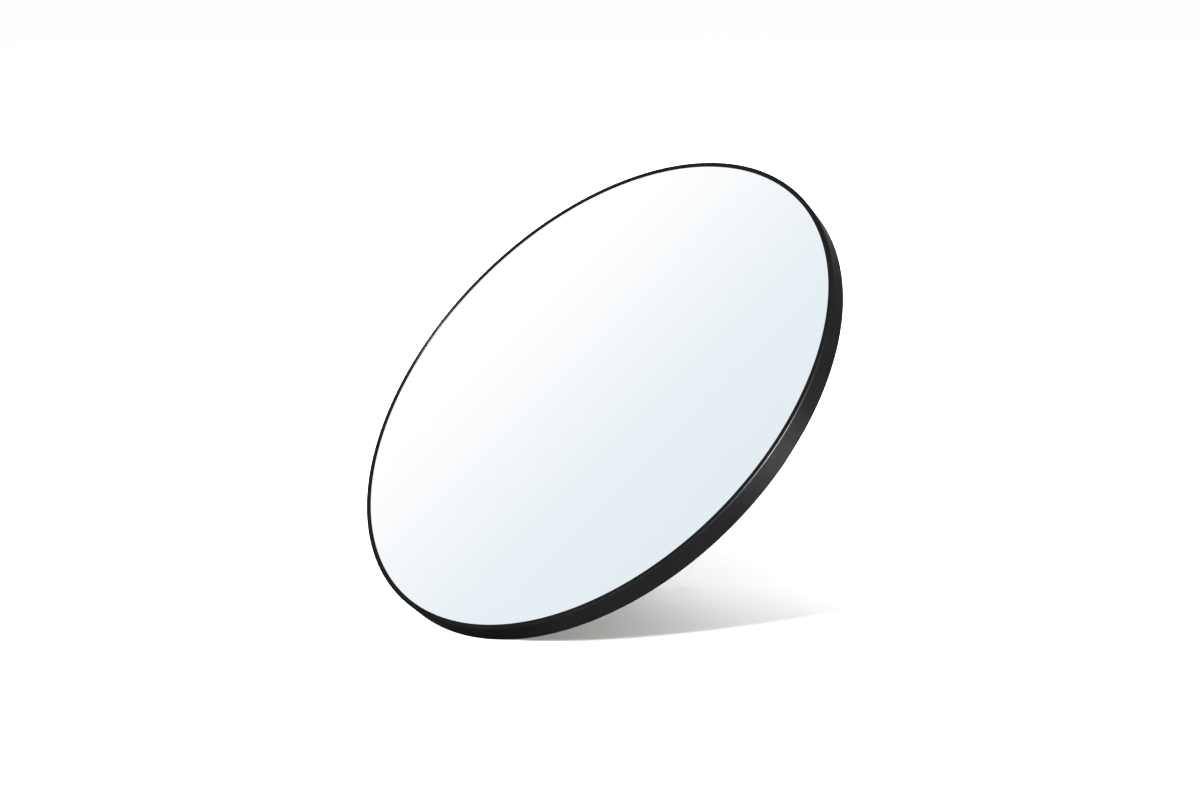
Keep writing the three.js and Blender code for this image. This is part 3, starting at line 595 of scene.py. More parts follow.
def add_sheets():
    """The edge tape round the glass, and the film and foam behind it."""
    glass_front = -(LIP_THICKNESS + FIT)
    glass_back = glass_front - GLASS_THICKNESS
    tape_gap = 0.2
    inner = GLASS_RADIUS + tape_gap
    outer = inner + TAPE_THICKNESS
    low, high = glass_back + tape_gap, glass_front - tape_gap
    profile = [(inner, low), (outer, low), (outer, high), (inner, high)]
    edge_tape = turned(profile, ROUND, closed=True)
    place(edge_tape, "glass_edge_tape", HEAD, "head", tape())

    sheet_radius = GLASS_RADIUS - SHEET_INSET
    film_front = glass_back - FIT
    film_back = film_front - FILM_THICKNESS
    profile = [(0, film_back), (sheet_radius, film_back), (sheet_radius, film_front), (0, film_front)]
    place(turned(profile, SHEET_ROUND), "backing_film", HEAD, "head", film())

    foam_front = film_back - FIT
    foam_back = BOARD_BACK + BOARD_THICKNESS + FIT
    half = (foam_front - foam_back) / 2
    middle = (foam_front + foam_back) / 2
    bulge = arc(sheet_radius - half, middle, half, -90, 90, 10)
    sheet = turned([(0, foam_back)] + bulge + [(0, foam_front)], SHEET_ROUND)
    place(sheet, "foam_sheet", HEAD, "head", foam())


# ---------------------------------------------------------------- screws
HEAD_RADIUS = 3
HEAD_HEIGHT = 1.9
HEAD_RIM = 0.55  # height of the straight stretch under the dome
DOME_RADIUS = 1.2
ROOT_RADIUS = 1.0  # of the thread
CREST_RADIUS = 1.4
SHANK_RADIUS = 1.1
PITCH = 1.0
POINT_LENGTH = 1.3


def pan_screw(shank, turn):
    """A threaded pan-head screw: z = 0 is under its head, and turn is how its recess stands, in degrees."""
    dome = [(HEAD_RADIUS, 0), (HEAD_RADIUS, HEAD_RIM)]
    dome += arc(HEAD_RADIUS - DOME_RADIUS, HEAD_RIM + 0.05, DOME_RADIUS, 5, 75, 7)
    tip = [(0, -shank), (ROOT_RADIUS, -shank + POINT_LENGTH)]
    thread = []
    turns = int((shank - POINT_LENGTH - 0.5) / PITCH)
    for i in range(turns):
        z = -shank + POINT_LENGTH + 0.1 + i * PITCH
        thread += [(ROOT_RADIUS, z), (CREST_RADIUS, z + 0.3), (ROOT_RADIUS, z + 0.6)]
    neck = [(SHANK_RADIUS, -0.1), (SHANK_RADIUS, 0)]
    screw = turned(tip + thread + neck + dome + [(0, HEAD_HEIGHT)], 40)
    arm = 1.75  # of the cross recess
    half = 0.36
    cross = (
        [(arm, -half), (arm, half), (half, half), (half, arm), (-half, arm), (-half, half)]
        + [(-arm, half), (-arm, -half), (-half, -half), (-half, -arm), (half, -arm), (half, -half)]
    )
    floor_and_mouth = ((0.45, 0.55), (1.08, 2.4))  # share of the cross's size, and height
    recess = loft([[(x * share, y * share, z) for x, y in cross] for share, z in floor_and_mouth])
    cut(screw, recess)
    return carried(screw, Matrix.Rotation(math.radians(turn), 4, "Z"))


def add_screw(name, shank, x, y, z, where, body, turn, flip=False):
    seat = Matrix.Translation((x, y, z))
    if flip:
        seat = seat @ Matrix.Rotation(math.pi, 4, "Y")
    screw = carried(pan_screw(shank, turn), seat)
    place(screw, name, where, body, ZINC, bevel=0.06, smooth=30)


BRACKET_SCREWS = [(-8, -14), (8, -14), (-8, 14), (8, 14)]
GUIDE_TAB_REACH = 13
GUIDE_SCREWS = [
    (x, y) for x in (-6, 6) for y in (SLIDER_OPEN - GUIDE_TAB_REACH, SLIDER_FOLDED + GUIDE_TAB_REACH)
]
BOARD_SCREW_LENGTH = 6
JOINT_SCREW_LENGTH = 4
FOOT_SCREW_LENGTH = 7.5
TAB_THICKNESS = 3


def add_screws():
    seat = PLATE_LIFT + SHEET + FIT
    for i, (x, y) in enumerate(BRACKET_SCREWS):
        add_screw(f"bracket_screw_{i + 1}", BOARD_SCREW_LENGTH, x, y, seat, REAR, "head", 17 + 31 * i)
    for i, (x, y) in enumerate(GUIDE_SCREWS):
        add_screw(f"guide_screw_{i + 1}", BOARD_SCREW_LENGTH, x, y, seat, REAR, "head", 41 + 23 * i)
    joint_seat = -FRAME_DEPTH - FIT
    foot_seat = BOARD_BACK - GAP - TAB_THICKNESS - FIT
    for side, sign in (("left", -1), ("right", 1)):
        x = sign * JOINT_SCREW_X
        name = f"joint_screw_{side}"
        add_screw(name, JOINT_SCREW_LENGTH, x, JOINT_SCREW_Y, joint_seat, HEAD, "head", 5 * x, flip=True)
        x = sign * FOOT_SCREW_X
        name = f"foot_screw_{side}"
        add_screw(name, FOOT_SCREW_LENGTH, x, FOOT_SCREW_Y, foot_seat, HEAD, "head", 7 * x, flip=True)


# ---------------------------------------------------------------- front foot
FOOT_HALF = 16
FOOT_CORNER = 5
FOOT_TREAD_REACH = 12  # the outermost grooves lie this far from the middle
FLANGE_ROOM = 1.6  # between the foot's step and the rim's rear flange
SOLE_START = 3.5
SOLE_END = 10.5
TAB_TOP = -176.5
TAB_BOTTOM = -188
TREAD_PITCH = 6
TREAD_WIDTH = 1.2
TREAD_DEEP = 0.7


def counter_y(z):
    """Where the counter cuts the HEAD frame at a given z."""
    height = HEAD.translation.z / MM
    return -(height + z * math.cos(RECLINE)) / math.sin(RECLINE)


def tread(reach, sole, z0, z1):
    """Cutters for the grooves across a sole, every TREAD_PITCH out to reach on both sides. sole(z) is where
    the counter cuts the piece's frame, and its sign says on which side of the piece the counter lies."""
    half = TREAD_WIDTH / 2
    deep = math.copysign(TREAD_DEEP, sole(z0))
    outside = math.copysign(2, sole(z0))
    section = [
        (sole(z0) - deep, z0), (sole(z1) - deep, z1), (sole(z1) + outside, z1), (sole(z0) + outside, z0),
    ]
    return [rail(section, x - half, x + half) for x in range(-reach, reach + 1, TREAD_PITCH)]


def add_front_foot():
    flange_face = -FRAME_DEPTH - GAP
    board_face = BOARD_BACK - GAP
    tab_back = board_face - TAB_THICKNESS
    near = -FRAME_DEPTH - SOLE_START
    far = -FRAME_DEPTH - SOLE_END
    step = -(FRAME_RADIUS - FLANGE_WIDTH) + FLANGE_ROOM
    rise_y = counter_y(near) + (flange_face - near) * math.tan(RECLINE)
    corner = 1.0  # radius below the sole's rear end
    root = 1.2  # radii where the tab starts and ends
    side = (
        [(rise_y, flange_face), (counter_y(near), near), (counter_y(far), far)]
        + arc(TAB_BOTTOM - root - corner, far + corner, corner, -90, 0, 8)
        + arc(TAB_BOTTOM, tab_back - root, root, 180, 90, 8)
        + arc(TAB_TOP - root, tab_back + root, root, -90, 0, 6)
        + [(TAB_TOP, board_face), (step, board_face), (step, flange_face)]
    )
    plan = rounded_box(FOOT_HALF, counter_y(near) - 8, TAB_TOP, FOOT_CORNER)
    foot = keep(rail(side, -FOOT_HALF, FOOT_HALF), slab(plan, far - OVER, board_face + OVER))
    holes = [
        slab(circle(x, FOOT_SCREW_Y, CLEARANCE_RADIUS, 24), far - OVER, board_face + OVER)
        for x in (-FOOT_SCREW_X, FOOT_SCREW_X)
    ]
    cut(foot, *holes, *tread(FOOT_TREAD_REACH, counter_y, far - OVER, near + OVER))
    place(foot, "front_foot", HEAD, "head", RUBBER, bevel=0.4)


# ---------------------------------------------------------------- hinge
BRACKET_HALF = 16
BRACKET_LENGTH_HALF = 20
BRACKET_DEPTH = 16  # of the channel that the ears are cut from
EAR_RADIUS = 5.4
EAR_FOOT_HALF = 8.5
BEND_RADIUS = 2.2  # outside, where pressed steel is bent
HINGE_PIN_RADIUS = 2
LINK_PIN_RADIUS = 1.5
PIN_PLAY = 0.3
PIN_TAIL = 1.6  # beyond the middle of the clip
PIN_HEAD_RADIUS = 3.6
PIN_HEAD_RIM = 0.6
PIN_CROWN = 0.8  # radius of the head's rounded edge
GROOVE_RADIUS = 1.4
GROOVE_HALF = 0.4
WASHER_RADIUS = 5
WASHER_THICKNESS = 1
WASHER_GAP = 0.25
CLIP_RADIUS = 3.75
CLIP_HALF = 0.25
CLIP_BORE = 1.6
CLIP_MOUTH_HALF = 1.1
NOTCH_RADIUS = 0.6
CLIP_X = -(STRUT_TOP_HALF + 1)


def channel_section(half, depth, thickness, bend):
    """An upturned channel's section as (x, z) points: its web lies at z = 0 to thickness, flanges go up."""
    inner = half - thickness
    small = max(bend - thickness, 0.3)
    return (
        [(half, depth)]
        + arc(half - bend, bend, bend, 0, -90, 8)
        + arc(-half + bend, bend, bend, 270, 180, 8)
        + [(-half, depth), (-inner, depth)]
        + arc(-inner + small, thickness + small, small, 180, 270, 5)
        + arc(inner - small, thickness + small, small, 270, 360, 5)
        + [(inner, depth)]
    )


def plate_hole(x, y):
    """A clearance hole's cutter, through a plate on the board."""
    return slab(circle(x, y, CLEARANCE_RADIUS, 32), -1, 3)


def add_hinge_bracket():
    length = BRACKET_LENGTH_HALF
    low = PLATE_LIFT - OVER
    section = channel_section(BRACKET_HALF, BRACKET_DEPTH, SHEET, BEND_RADIUS)
    ends = (-length - OVER / 2, length + OVER / 2)
    channel = loft([[(x, y, z + PLATE_LIFT) for x, z in section] for y in ends])
    outline = rounded_box(BRACKET_HALF + SLIVER, -length, length, PLATE_CORNER)
    plate = slab(outline, low, PLATE_LIFT + SHEET)
    ear_side = arc(0, PIN_STANDOFF, EAR_RADIUS, 0, 180, 20) + [(-EAR_FOOT_HALF, low), (EAR_FOOT_HALF, low)]
    ears = rail(ear_side, -BRACKET_HALF - OVER, BRACKET_HALF + OVER)
    bracket = keep(channel, join(plate, ears))
    holes = [plate_hole(x, y) for x, y in BRACKET_SCREWS]
    cut(bracket, rod(HINGE_PIN_RADIUS + PIN_PLAY, 0, PIN_STANDOFF, -30, 30), *holes)
    place(bracket, "hinge_bracket", REAR, "head", GRAINED_BLACK, bevel=0.2)


HINGE = REAR @ moved(0, 0, PIN_STANDOFF)
ALONG_X = Matrix.Rotation(math.pi / 2, 4, "Y")


def add_hinge_pin():
    start = CLIP_X - PIN_TAIL
    end = STRUT_TOP_HALF + GAP
    radius = HINGE_PIN_RADIUS
    chamfer = 0.5
    low, high = CLIP_X - GROOVE_HALF, CLIP_X + GROOVE_HALF
    profile = (
        [(0, start), (radius - chamfer, start), (radius, start + chamfer)]
        + [(radius, low), (GROOVE_RADIUS, low), (GROOVE_RADIUS, high), (radius, high)]
        + [(radius, end), (PIN_HEAD_RADIUS, end), (PIN_HEAD_RADIUS, end + PIN_HEAD_RIM)]
        + arc(PIN_HEAD_RADIUS - PIN_CROWN, end + PIN_HEAD_RIM, PIN_CROWN, 0, 90, 6)
        + [(0, end + PIN_HEAD_RIM + PIN_CROWN)]
    )
    pin = carried(turned(profile, 48), ALONG_X)
    place(pin, "hinge_pin", HINGE, "head", ZINC, bevel=0.08)

    hole = HINGE_PIN_RADIUS + PIN_PLAY
    thick = WASHER_THICKNESS
    washer = [(hole, 0), (WASHER_RADIUS, 0), (WASHER_RADIUS, thick), (hole, thick)]
    near = BRACKET_HALF + WASHER_GAP
    for side, x in (("right", near), ("left", -near - thick)):
        ring = carried(turned(washer, 48, closed=True), Matrix.Translation((x, 0, 0)) @ ALONG_X)
        place(ring, f"hinge_washer_{side}", HINGE, "head", NYLON, bevel=0.12)


def add_hinge_clip():
    """A spring clip with an open mouth and two small notches behind its grip."""
    through = (CLIP_X - CLIP_HALF - OVER, CLIP_X + CLIP_HALF + OVER)
    clip = rod(CLIP_RADIUS, 0, 0, CLIP_X - CLIP_HALF, CLIP_X + CLIP_HALF, 48)
    half, end = CLIP_MOUTH_HALF, -CLIP_RADIUS - 1.25
    mouth = rail([(end, -half), (0, -half), (0, half), (end, half)], *through)
    notches = [rod(NOTCH_RADIUS, 1, side * 1.9, *through, 20) for side in (1, -1)]
    cut(clip, rod(CLIP_BORE, 0, 0, *through), mouth, *notches)
    place(clip, "hinge_clip", HINGE, "head", ZINC, bevel=0.06)


# ---------------------------------------------------------------- guide, slider and stay
GUIDE_HALF = 10
GUIDE_UNDER = 2
GUIDE_TOP = GUIDE_UNDER + SHEET
GUIDE_TAB = 17.5  # the plate ends this far beyond the slider's travel
GUIDE_RISE = 8.5  # and its ramps start this far beyond it
GUIDE_RAMP = 2.5
BEND_SHIFT = 0.6  # the bends of the upper face lie this much further out
SLOT_HALF = 2.2
BASE_HALF = 5  # half the length of the slider's base
BASE_CORNER = 1.2
CHEEK_FOOT_HALF = 4.4
NECK_RADIUS = 1.9
NECK_FOOT = 1.75  # shoulder of the slider's neck, above the board
STUB_RADIUS = 1.3
STUB_FOOT = 0.7
KEEPER_BORE = 1.5
KEEPER_RADIUS = 4.5
KEEPER_FOOT = 0.6
KEEPER_PLAY = 0.15
LAP = 0.2  # joined shapes reach this far into each other
RIVET_HEAD_RADIUS = 2.5
RIVET_CROWN = 0.65
BAR_HALF = 4
EYE_RADIUS = 3.2
CHEEK_INNER = BAR_HALF + 0.4
CHEEK_OUTER = CHEEK_INNER + 2


def add_guide_plate():
    """A plate with a raised, slotted stretch along which the slider runs."""
    low, top, run = PLATE_LIFT, PLATE_LIFT + SHEET, GUIDE_RAMP
    start, end = SLIDER_OPEN - GUIDE_TAB, SLIDER_FOLDED + GUIDE_TAB
    rise, fall = SLIDER_OPEN - GUIDE_RISE, SLIDER_FOLDED + GUIDE_RISE
    over_rise, over_fall = rise - BEND_SHIFT, fall + BEND_SHIFT
    under = [
        (start, low), (rise, low), (rise + run, GUIDE_UNDER),
        (fall - run, GUIDE_UNDER), (fall, low), (end, low),
    ]
    over = [
        (end, top), (over_fall, top), (over_fall - run, GUIDE_TOP),
        (over_rise + run, GUIDE_TOP), (over_rise, top), (start, top),
    ]
    outline = rounded_box(GUIDE_HALF + SLIVER, start, end, PLATE_CORNER)
    plate = keep(rail(under + over, -GUIDE_HALF, GUIDE_HALF), slab(outline, -1, 6))
    slot = arc(0, SLIDER_FOLDED, SLOT_HALF, 0, 180, 20) + arc(0, SLIDER_OPEN, SLOT_HALF, 180, 360, 20)
    holes = [plate_hole(x, y) for x, y in GUIDE_SCREWS]
    cut(plate, slab(slot, -1, 6), *holes)
    place(plate, "guide_plate", REAR, "head", ZINC, bevel=0.2)


def add_slider():
    board = -PIN_STANDOFF
    low = board + GUIDE_TOP + GAP
    high = -EYE_RADIUS - GAP
    body = slab(rounded_box(CHEEK_OUTER, -BASE_HALF, BASE_HALF, BASE_CORNER), low, high)
    cheek = arc(0, 0, EYE_RADIUS + 0.2, 0, 180, 24) + [(-CHEEK_FOOT_HALF, low), (CHEEK_FOOT_HALF, low)]
    cheeks = [rail(cheek, -CHEEK_OUTER, -CHEEK_INNER), rail(cheek, CHEEK_INNER, CHEEK_OUTER)]
    neck = slab(circle(0, 0, NECK_RADIUS, 40), board + NECK_FOOT, low + LAP)
    stub = slab(circle(0, 0, STUB_RADIUS, 32), board + STUB_FOOT, board + NECK_FOOT + LAP)
    join(body, *cheeks, neck, stub)
    cut(body, rod(LINK_PIN_RADIUS + PIN_PLAY, 0, 0, -10, 10))
    place(body, "slider", SLIDER, "slider", NYLON, bevel=0.3)

    low, high = board + KEEPER_FOOT, board + NECK_FOOT - KEEPER_PLAY
    profile = [(KEEPER_BORE, low), (KEEPER_RADIUS, low), (KEEPER_RADIUS, high), (KEEPER_BORE, high)]
    keeper = turned(profile, 48, closed=True)
    place(keeper, "slider_keeper", SLIDER, "slider", ZINC, bevel=0.1)


def rivet_pin(half_grip):
    """A pin with a domed head at each end."""
    under = half_grip + GAP
    rim = under + 0.35
    head = [(LINK_PIN_RADIUS, under), (RIVET_HEAD_RADIUS, under), (RIVET_HEAD_RADIUS, rim)]
    crown = arc(RIVET_HEAD_RADIUS - RIVET_CROWN, rim, RIVET_CROWN, 0, 90, 6)
    half = head + crown + [(0, rim + RIVET_CROWN)]
    mirrored = [(radius, -z) for radius, z in reversed(half)]
    return carried(turned(mirrored + half, 40), ALONG_X)


def add_stay():
    """A bar with an eye at each end and a slight waist."""
    half = 2.2
    waist = 0.21
    middle = STAY_LENGTH / 2
    near, far = EYE_RADIUS + 2, STAY_LENGTH - EYE_RADIUS - 2
    outline = (
        arc(0, 0, EYE_RADIUS, 45, 315, 28)
        + [(near, -half), (middle, -half + waist), (far, -half)]
        + arc(STAY_LENGTH, 0, EYE_RADIUS, 225, 495, 28)
        + [(far, half), (middle, half - waist), (near, half)]
    )
    bar = rail(outline, -BAR_HALF, BAR_HALF)
    cut(bar, *[rod(LINK_PIN_RADIUS + PIN_PLAY, y, 0, -10, 10) for y in (0, STAY_LENGTH)])
    place(bar, "stay_bar", STAY, "stay", ZINC, bevel=0.35)
    slider_pin = carried(rivet_pin(CHEEK_OUTER), moved(0, STAY_LENGTH, 0))
    place(slider_pin, "slider_pin", STAY, "stay", ZINC, bevel=0.06)


# ---------------------------------------------------------------- strut and boot
WEB_LOW = WEB_TOP - SHEET
FLARE_START = 26
FLARE_END = STRUT_REACH - 30
STRUT_END = STRUT_REACH - 3
STRUT_START = -6
FLANGE_DEPTH = 12  # of the channel that the strut's side is cut from
FLANGE_START = 6
FLANGE_TAPER_START = 70
FLANGE_LOW = -3.6  # lower edge of the side flanges
FLANGE_FOOT_LOW = -1  # and the same at the foot
WEB_START = 12  # the web is cut away from the hinge down to here
BEAD_HALF = 3.5
BEAD_START = 34
BEAD_END = STRUT_REACH - 38
GROOVE_INSET = 1.5  # from the bead's ends to those of the groove in it
BEAD_GROOVE_HALF = 2.2
BEAD_GROOVE_DEEP = 0.4
PIVOT_EAR_INNER = 5
PIVOT_EAR_RADIUS = 3.4
PIVOT_EAR_FOOT_HALF = 5


def strut_half(y):
    """Half the strut's width at y along it."""
    part = min(max((y - FLARE_START) / (FLARE_END - FLARE_START), 0), 1)
    return STRUT_TOP_HALF + (STRUT_FOOT_HALF - STRUT_TOP_HALF) * part


def add_strut():
    """A channel that flares towards the foot, with a pressed bead along its web and two ears for the stay."""
    shell = loft(
        [
            [(x, y, WEB_TOP - z) for x, z in channel_section(strut_half(y), FLANGE_DEPTH, SHEET, BEND_RADIUS)]
            for y in (STRUT_START, FLARE_START, FLARE_END, STRUT_END)
        ]
    )
    end, top = STRUT_END + OVER, WEB_TOP + OVER
    side = (
        arc(0, 0, WEB_TOP, 90, 270, 24)
        + [(FLANGE_START, FLANGE_LOW), (FLANGE_TAPER_START, FLANGE_LOW), (FLARE_END, FLANGE_FOOT_LOW)]
        + [(end, FLANGE_FOOT_LOW), (end, top), (0, top)]
    )
    keep(shell, rail(side, -STRUT_FOOT_HALF - OVER, STRUT_FOOT_HALF + OVER))
    inner = STRUT_TOP_HALF - SHEET
    window = block(-inner, inner, -WEB_START, WEB_START, WEB_LOW - 3, 10)
    cut(shell, window)
    within = WEB_LOW + 0.5  # inside the web's thickness
    bead = slab(rounded_box(BEAD_HALF, BEAD_START, BEAD_END, BEAD_HALF - 0.1), within, WEB_TOP + OVER)
    groove_start, groove_end = BEAD_START + GROOVE_INSET, BEAD_END - GROOVE_INSET
    outline = rounded_box(BEAD_GROOVE_HALF, groove_start, groove_end, BEAD_GROOVE_HALF - 0.1)
    groove = slab(outline, WEB_LOW - OVER, WEB_TOP - BEAD_GROOVE_DEEP)
    ear_side = arc(STAY_LENGTH, 0, PIVOT_EAR_RADIUS, 180, 360, 24)
    ear_side += [(STAY_LENGTH + PIVOT_EAR_FOOT_HALF, within), (STAY_LENGTH - PIVOT_EAR_FOOT_HALF, within)]
    ears = [
        rail(ear_side, PIVOT_EAR_INNER, PIVOT_EAR_INNER + SHEET),
        rail(ear_side, -PIVOT_EAR_INNER - SHEET, -PIVOT_EAR_INNER),
    ]
    join(shell, bead, *ears)
    holes = [slab(circle(x, y, CLEARANCE_RADIUS, 32), WEB_LOW - OVER, 10) for _, x, y in BOOT_SCREWS]
    cut(
        shell,
        groove,
        rod(HINGE_PIN_RADIUS + PIN_PLAY, 0, 0, -30, 30),
        rod(LINK_PIN_RADIUS + PIN_PLAY, STAY_LENGTH, 0, -12, 12),
        *holes,
    )
    place(shell, "strut", STRUT, "strut", GRAINED_BLACK, bevel=0.22)
    pin = carried(rivet_pin(PIVOT_EAR_INNER + SHEET), moved(0, STAY_LENGTH, 0))
    place(pin, "stay_pin", STRUT, "strut", ZINC, bevel=0.06)


BOOT_INNER = -5
BOOT_OUTER = 8.2
BOOT_TALL = 18
BOOT_EDGE = 2  # radius of its upper edges
BOOT_ROOM = 0.25  # round the steel in its pocket
BOOT_TREAD_REACH = 18
BOOT_WALL = 2.2
BOOT_SCREW_LENGTH = 7
BOOT_SCREWS = [("right", 16, STRUT_REACH - 10), ("left", -16, STRUT_REACH - 10)]


def sole_y(z):
    """Where the counter cuts the STRUT frame at a given z."""
    return STRUT_REACH + z * math.tan(LEAN)


def add_boot():
    top = STRUT_REACH - BOOT_TALL
    side = (
        [(sole_y(BOOT_INNER), BOOT_INNER), (sole_y(BOOT_OUTER), BOOT_OUTER)]
        + arc(top + BOOT_EDGE, BOOT_OUTER - BOOT_EDGE, BOOT_EDGE, 90, 180, 8)
        + arc(top + BOOT_EDGE, BOOT_INNER + BOOT_EDGE, BOOT_EDGE, 180, 270, 8)
    )
    half = STRUT_FOOT_HALF + BOOT_WALL
    plan = rounded_box(half + SLIVER, top - 4, STRUT_REACH + 6, 3)
    boot = keep(rail(side, -half, half), slab(plan, BOOT_INNER - OVER, BOOT_OUTER + OVER))
    room = BOOT_ROOM
    end = STRUT_END + room
    outer = STRUT_FOOT_HALF + room
    inner = outer - SHEET - 2 * room
    pocket = block(-outer, outer, top - 5, end, WEB_LOW - room, WEB_TOP + room)
    sides = [
        block(*sorted((sign * inner, sign * outer)), top - 5, end, FLANGE_FOOT_LOW - room, WEB_TOP)
        for sign in (-1, 1)
    ]
    holes = [
        slab(circle(x, y, PILOT_RADIUS, 24), BOOT_OUTER - BOOT_SCREW_LENGTH - 0.5, BOOT_OUTER + OVER)
        for _, x, y in BOOT_SCREWS
    ]
    grooves = tread(BOOT_TREAD_REACH, sole_y, BOOT_INNER - OVER, BOOT_OUTER + OVER)
    cut(boot, join(pocket, *sides), *holes, *grooves)
    place(boot, "strut_boot", STRUT, "strut", RUBBER, bevel=0.5)
    seat = BOOT_OUTER + FIT
    for i, (side_name, x, y) in enumerate(BOOT_SCREWS):
        name = f"boot_screw_{side_name}"
        add_screw(name, BOOT_SCREW_LENGTH, x, y, seat, STRUT, "strut", 28 + 40 * i)


BUMPER_RADIUS = 5
BUMPER_EDGE = 1


def add_bumper():
    high = PIN_STANDOFF + BOOT_INNER - GAP
    radius, edge = BUMPER_RADIUS, BUMPER_EDGE
    profile = (
        [(0, PLATE_LIFT), (radius, PLATE_LIFT), (radius, high - edge)]
        + arc(radius - edge, high - edge, edge, 0, 90, 6)
        + [(0, high)]
    )
    bumper = carried(turned(profile, 48), moved(0, STRUT_REACH - BOOT_TALL / 2, 0))
    place(bumper, "stow_bumper", REAR, "head", RUBBER)


# ---------------------------------------------------------------- floor, world and lights
FLOOR_HALF = 30  # in metres, and so are the two distances of the contact patch
FLOOR_WHITE = 0.86
FLOOR_BOUNCE = 0.4  # the floor is burnt out, so it gives the pieces less light than the camera sees
CONTACT_BOUNCE = 0.08  # and hardly any close to where the rim's edge stands: painted shade in the light the floor gives back
CONTACT_NEAR = 0.05  # from that place; the patch is even up to here
CONTACT_FAR = 0.15  # and its bounce has faded out here
CONTACT_PAINTED_SHADE = 0.78  # share of the floor's tone kept there: painted shade on the floor, which deepens the shadow next to the edge
CONTACT_PAINTED_SHADE_FAR = 0.2  # where that painted shade has faded out
DOME = 1.32  # radiance of the cove
PAPER_WHITE = 0.993  # what the camera sees of the cove


def add_floor():
    bm = bmesh.new()
    corners = ((-1, -1), (1, -1), (1, 1), (-1, 1))
    bm.faces.new([bm.verts.new((x * FLOOR_HALF, y * FLOOR_HALF, 0)) for x, y in corners])
    floor = new_object("floor", bm)
    material, bsdf = shader("floor_white", (FLOOR_WHITE,) * 3, 0.9, specular=0.0)
    low, high = FLOOR_WHITE - 0.005, FLOOR_WHITE + 0.005
    tone = ramp(material, noise(material, 3), [(0.3, (low,) * 3), (0.7, (high,) * 3)])
    links = material.node_tree.links
    coordinates = material.node_tree.nodes.new("ShaderNodeTexCoord")
    reach = material.node_tree.nodes.new("ShaderNodeVectorMath")
    reach.operation = "DISTANCE"
    reach.inputs[1].default_value = (0, counter_y(-FRAME_DEPTH) * MM * math.cos(RECLINE), 0)
    links.new(coordinates.outputs["Object"], reach.inputs[0])
    paths = material.node_tree.nodes.new("ShaderNodeLightPath")
    mix = material.node_tree.nodes.new("ShaderNodeMix")
    mix.data_type = "RGBA"
    # painted shade in the floor's bounce: the pieces get less light from the floor close to where the rim's
    # edge stands
    bounce = spread(
        material, reach.outputs["Value"], CONTACT_BOUNCE, FLOOR_BOUNCE, CONTACT_NEAR, CONTACT_FAR
    )
    links.new(bounce, mix.inputs["A"])
    links.new(paths.outputs["Is Camera Ray"], mix.inputs["Factor"])
    # painted shade: the floor's tone, as the camera sees it, is darker next to the rim's edge, which deepens
    # the shadow there
    grey = spread(material, reach.outputs["Value"], CONTACT_PAINTED_SHADE, 1, CONTACT_NEAR, CONTACT_PAINTED_SHADE_FAR)
    shade = material.node_tree.nodes.new("ShaderNodeVectorMath")
    shade.operation = "SCALE"
    links.new(tone, shade.inputs["Vector"])
    links.new(grey, shade.inputs["Scale"])
    links.new(shade.outputs["Vector"], mix.inputs["B"])
    dress(material, bsdf, mix.outputs["Result"])
    floor.data.materials.append(material)
    return floor


# The studio is a white cove. In reflections it has a pale blue wash on one side: the stops are the cove's
# colour against how far a direction lies towards WASH_DIRECTION.
WASH_DIRECTION = Vector((0.568, -0.716, 0.404)).normalized()
WASH_STOPS = [
    (-0.075, (1.08, 1.05, 1.03)),
    (-0.03, (0.985, 0.978, 0.99)),
    (0.0, (0.915, 0.94, 0.965)),
    (0.035, (0.85, 0.893, 0.93)),
    (0.1, (0.795, 0.865, 0.9)),
]


def add_world():
    world = bpy.data.worlds.new("studio")
    bpy.context.scene.world = world
    world.use_nodes = True
    nodes, links = world.node_tree.nodes, world.node_tree.links
    background = nodes["Background"]
    coordinates = nodes.new("ShaderNodeTexCoord")
    dot = nodes.new("ShaderNodeVectorMath")
    dot.operation = "DOT_PRODUCT"
    dot.inputs[1].default_value = WASH_DIRECTION
    links.new(coordinates.outputs["Generated"], dot.inputs[0])
    low, high = WASH_STOPS[0][0], WASH_STOPS[-1][0]
    along = nodes.new("ShaderNodeMapRange")
    along.inputs["From Min"].default_value = low
    along.inputs["From Max"].default_value = high
    links.new(dot.outputs["Value"], along.inputs["Value"])
    wash = nodes.new("ShaderNodeValToRGB")
    wash.color_ramp.interpolation = "B_SPLINE"
    while len(wash.color_ramp.elements) < len(WASH_STOPS):
        wash.color_ramp.elements.new(0.5)
    for element, (position, color) in zip(wash.color_ramp.elements, WASH_STOPS):
        element.position = (position - low) / (high - low)
        element.color = (*(part / DOME for part in color), 1)
    links.new(along.outputs["Result"], wash.inputs["Fac"])

    paths = nodes.new("ShaderNodeLightPath")
    dome = nodes.new("ShaderNodeMix")
    dome.data_type = "RGBA"
    dome.inputs["A"].default_value = (1, 1, 1, 1)
    links.new(paths.outputs["Is Glossy Ray"], dome.inputs["Factor"])
    links.new(wash.outputs["Color"], dome.inputs["B"])
    seen = nodes.new("ShaderNodeMix")
    seen.data_type = "RGBA"
    paper = PAPER_WHITE / DOME
    seen.inputs["B"].default_value = (paper, paper, paper, 1)
    links.new(paths.outputs["Is Camera Ray"], seen.inputs["Factor"])
    links.new(dome.outputs["Result"], seen.inputs["A"])
    links.new(seen.outputs["Result"], background.inputs["Color"])
    background.inputs["Strength"].default_value = DOME


def link_group(name, objects, state):
    group = bpy.data.collections.new(name)
    for obj in objects:
        group.objects.link(obj)
    for entry in group.collection_objects:
        entry.light_linking.link_state = state
    return group


def linked(light, receivers, state, blockers=()):
    """Lets a light reach only these receivers, or all but these. It shines through the blockers named."""
    linking = light.light_linking
    linking.receiver_collection = link_group(light.name + "_reached", receivers, state)
    if blockers:
        linking.blocker_collection = link_group(light.name + "_passed", blockers, "EXCLUDE")


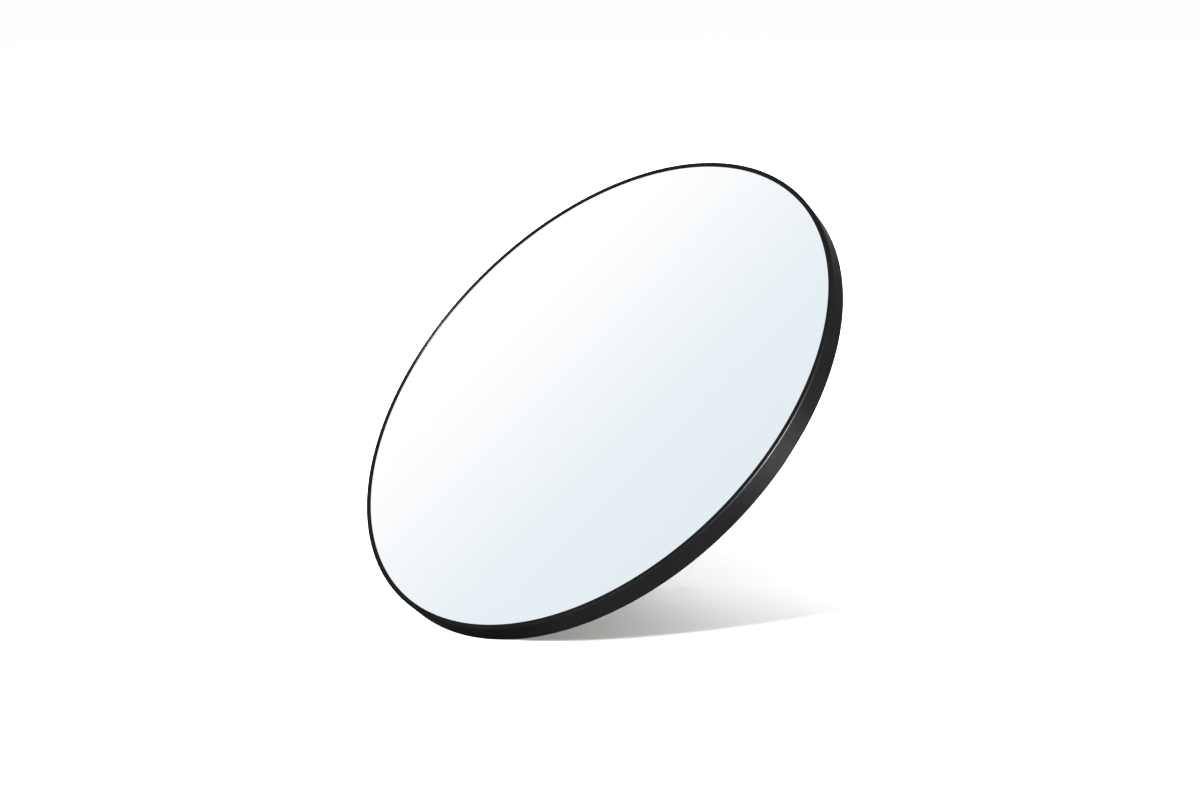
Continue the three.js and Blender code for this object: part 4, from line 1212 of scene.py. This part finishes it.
def add_light(name, kind, direction, energy, distance=1.0, size=0.0):
    """A light that shines from a direction: a sun, with its size in degrees, or a disc, with its size and
    distance in metres."""
    data = bpy.data.lights.new(name, kind)
    data.energy = energy
    if kind == "SUN":
        data.angle = math.radians(size)
    else:
        data.shape = "DISK"
        data.size = size
    light = bpy.data.objects.new(name, data)
    towards = Vector(direction).normalized()
    light.location = HEAD.translation + distance * towards
    light.rotation_euler = towards.to_track_quat("Z", "Y").to_euler()
    light.visible_camera = False
    bpy.context.scene.collection.objects.link(light)
    return light


KEY_DIRECTION = (-0.044, -0.965, 0.259)
SIDE_DIRECTION = (-0.909, -0.252, 0.333)
CORNER_DIRECTION = (0.84, -0.25, 0.46)
WALL_DIRECTION = (0.76, 0.55, -0.28)
LINKAGE = ("strut", "strut_boot", "stay_bar", "slider")  # the side light throws no streak from these


def add_lights(floor, glass):
    """The floor alone has a low key from the front, which makes the long shadow, and a weak light from the
    left, which shines through the strut. The object alone, without its glass, has a key and two softboxes for
    the rim's corner and wall. The wall's shines up through the floor."""
    floor_key = add_light("floor_key", "SUN", KEY_DIRECTION, 25.5, size=4.4)
    floor_side = add_light("floor_side", "SUN", SIDE_DIRECTION, 2.5, size=14.8)
    linked(floor_key, [floor], "INCLUDE")
    linkage = [bpy.data.objects[node + "_piece"] for node in LINKAGE]
    linked(floor_side, [floor], "INCLUDE", blockers=linkage)
    key = add_light("key", "SUN", KEY_DIRECTION, 1.2, size=4.4)
    corner_box = add_light("corner_box", "AREA", CORNER_DIRECTION, 600.0, distance=2.2, size=0.6)
    corner_box.visible_diffuse = False
    for light in (key, corner_box):
        linked(light, [floor, glass], "EXCLUDE")
    wall_box = add_light("wall_box", "AREA", WALL_DIRECTION, 18.0, distance=1.8, size=0.8)
    linked(wall_box, [floor, glass], "EXCLUDE", blockers=[floor])


add_rim()
mirror_glass = add_glass()
add_sheets()
add_board()
add_splice_key()
add_screws()
add_front_foot()
add_hinge_bracket()
add_hinge_pin()
add_hinge_clip()
add_guide_plate()
add_slider()
add_stay()
add_strut()
add_boot()
add_bumper()
add_world()
add_lights(add_floor(), mirror_glass)
bpy.context.scene.view_settings.view_transform = "Standard"
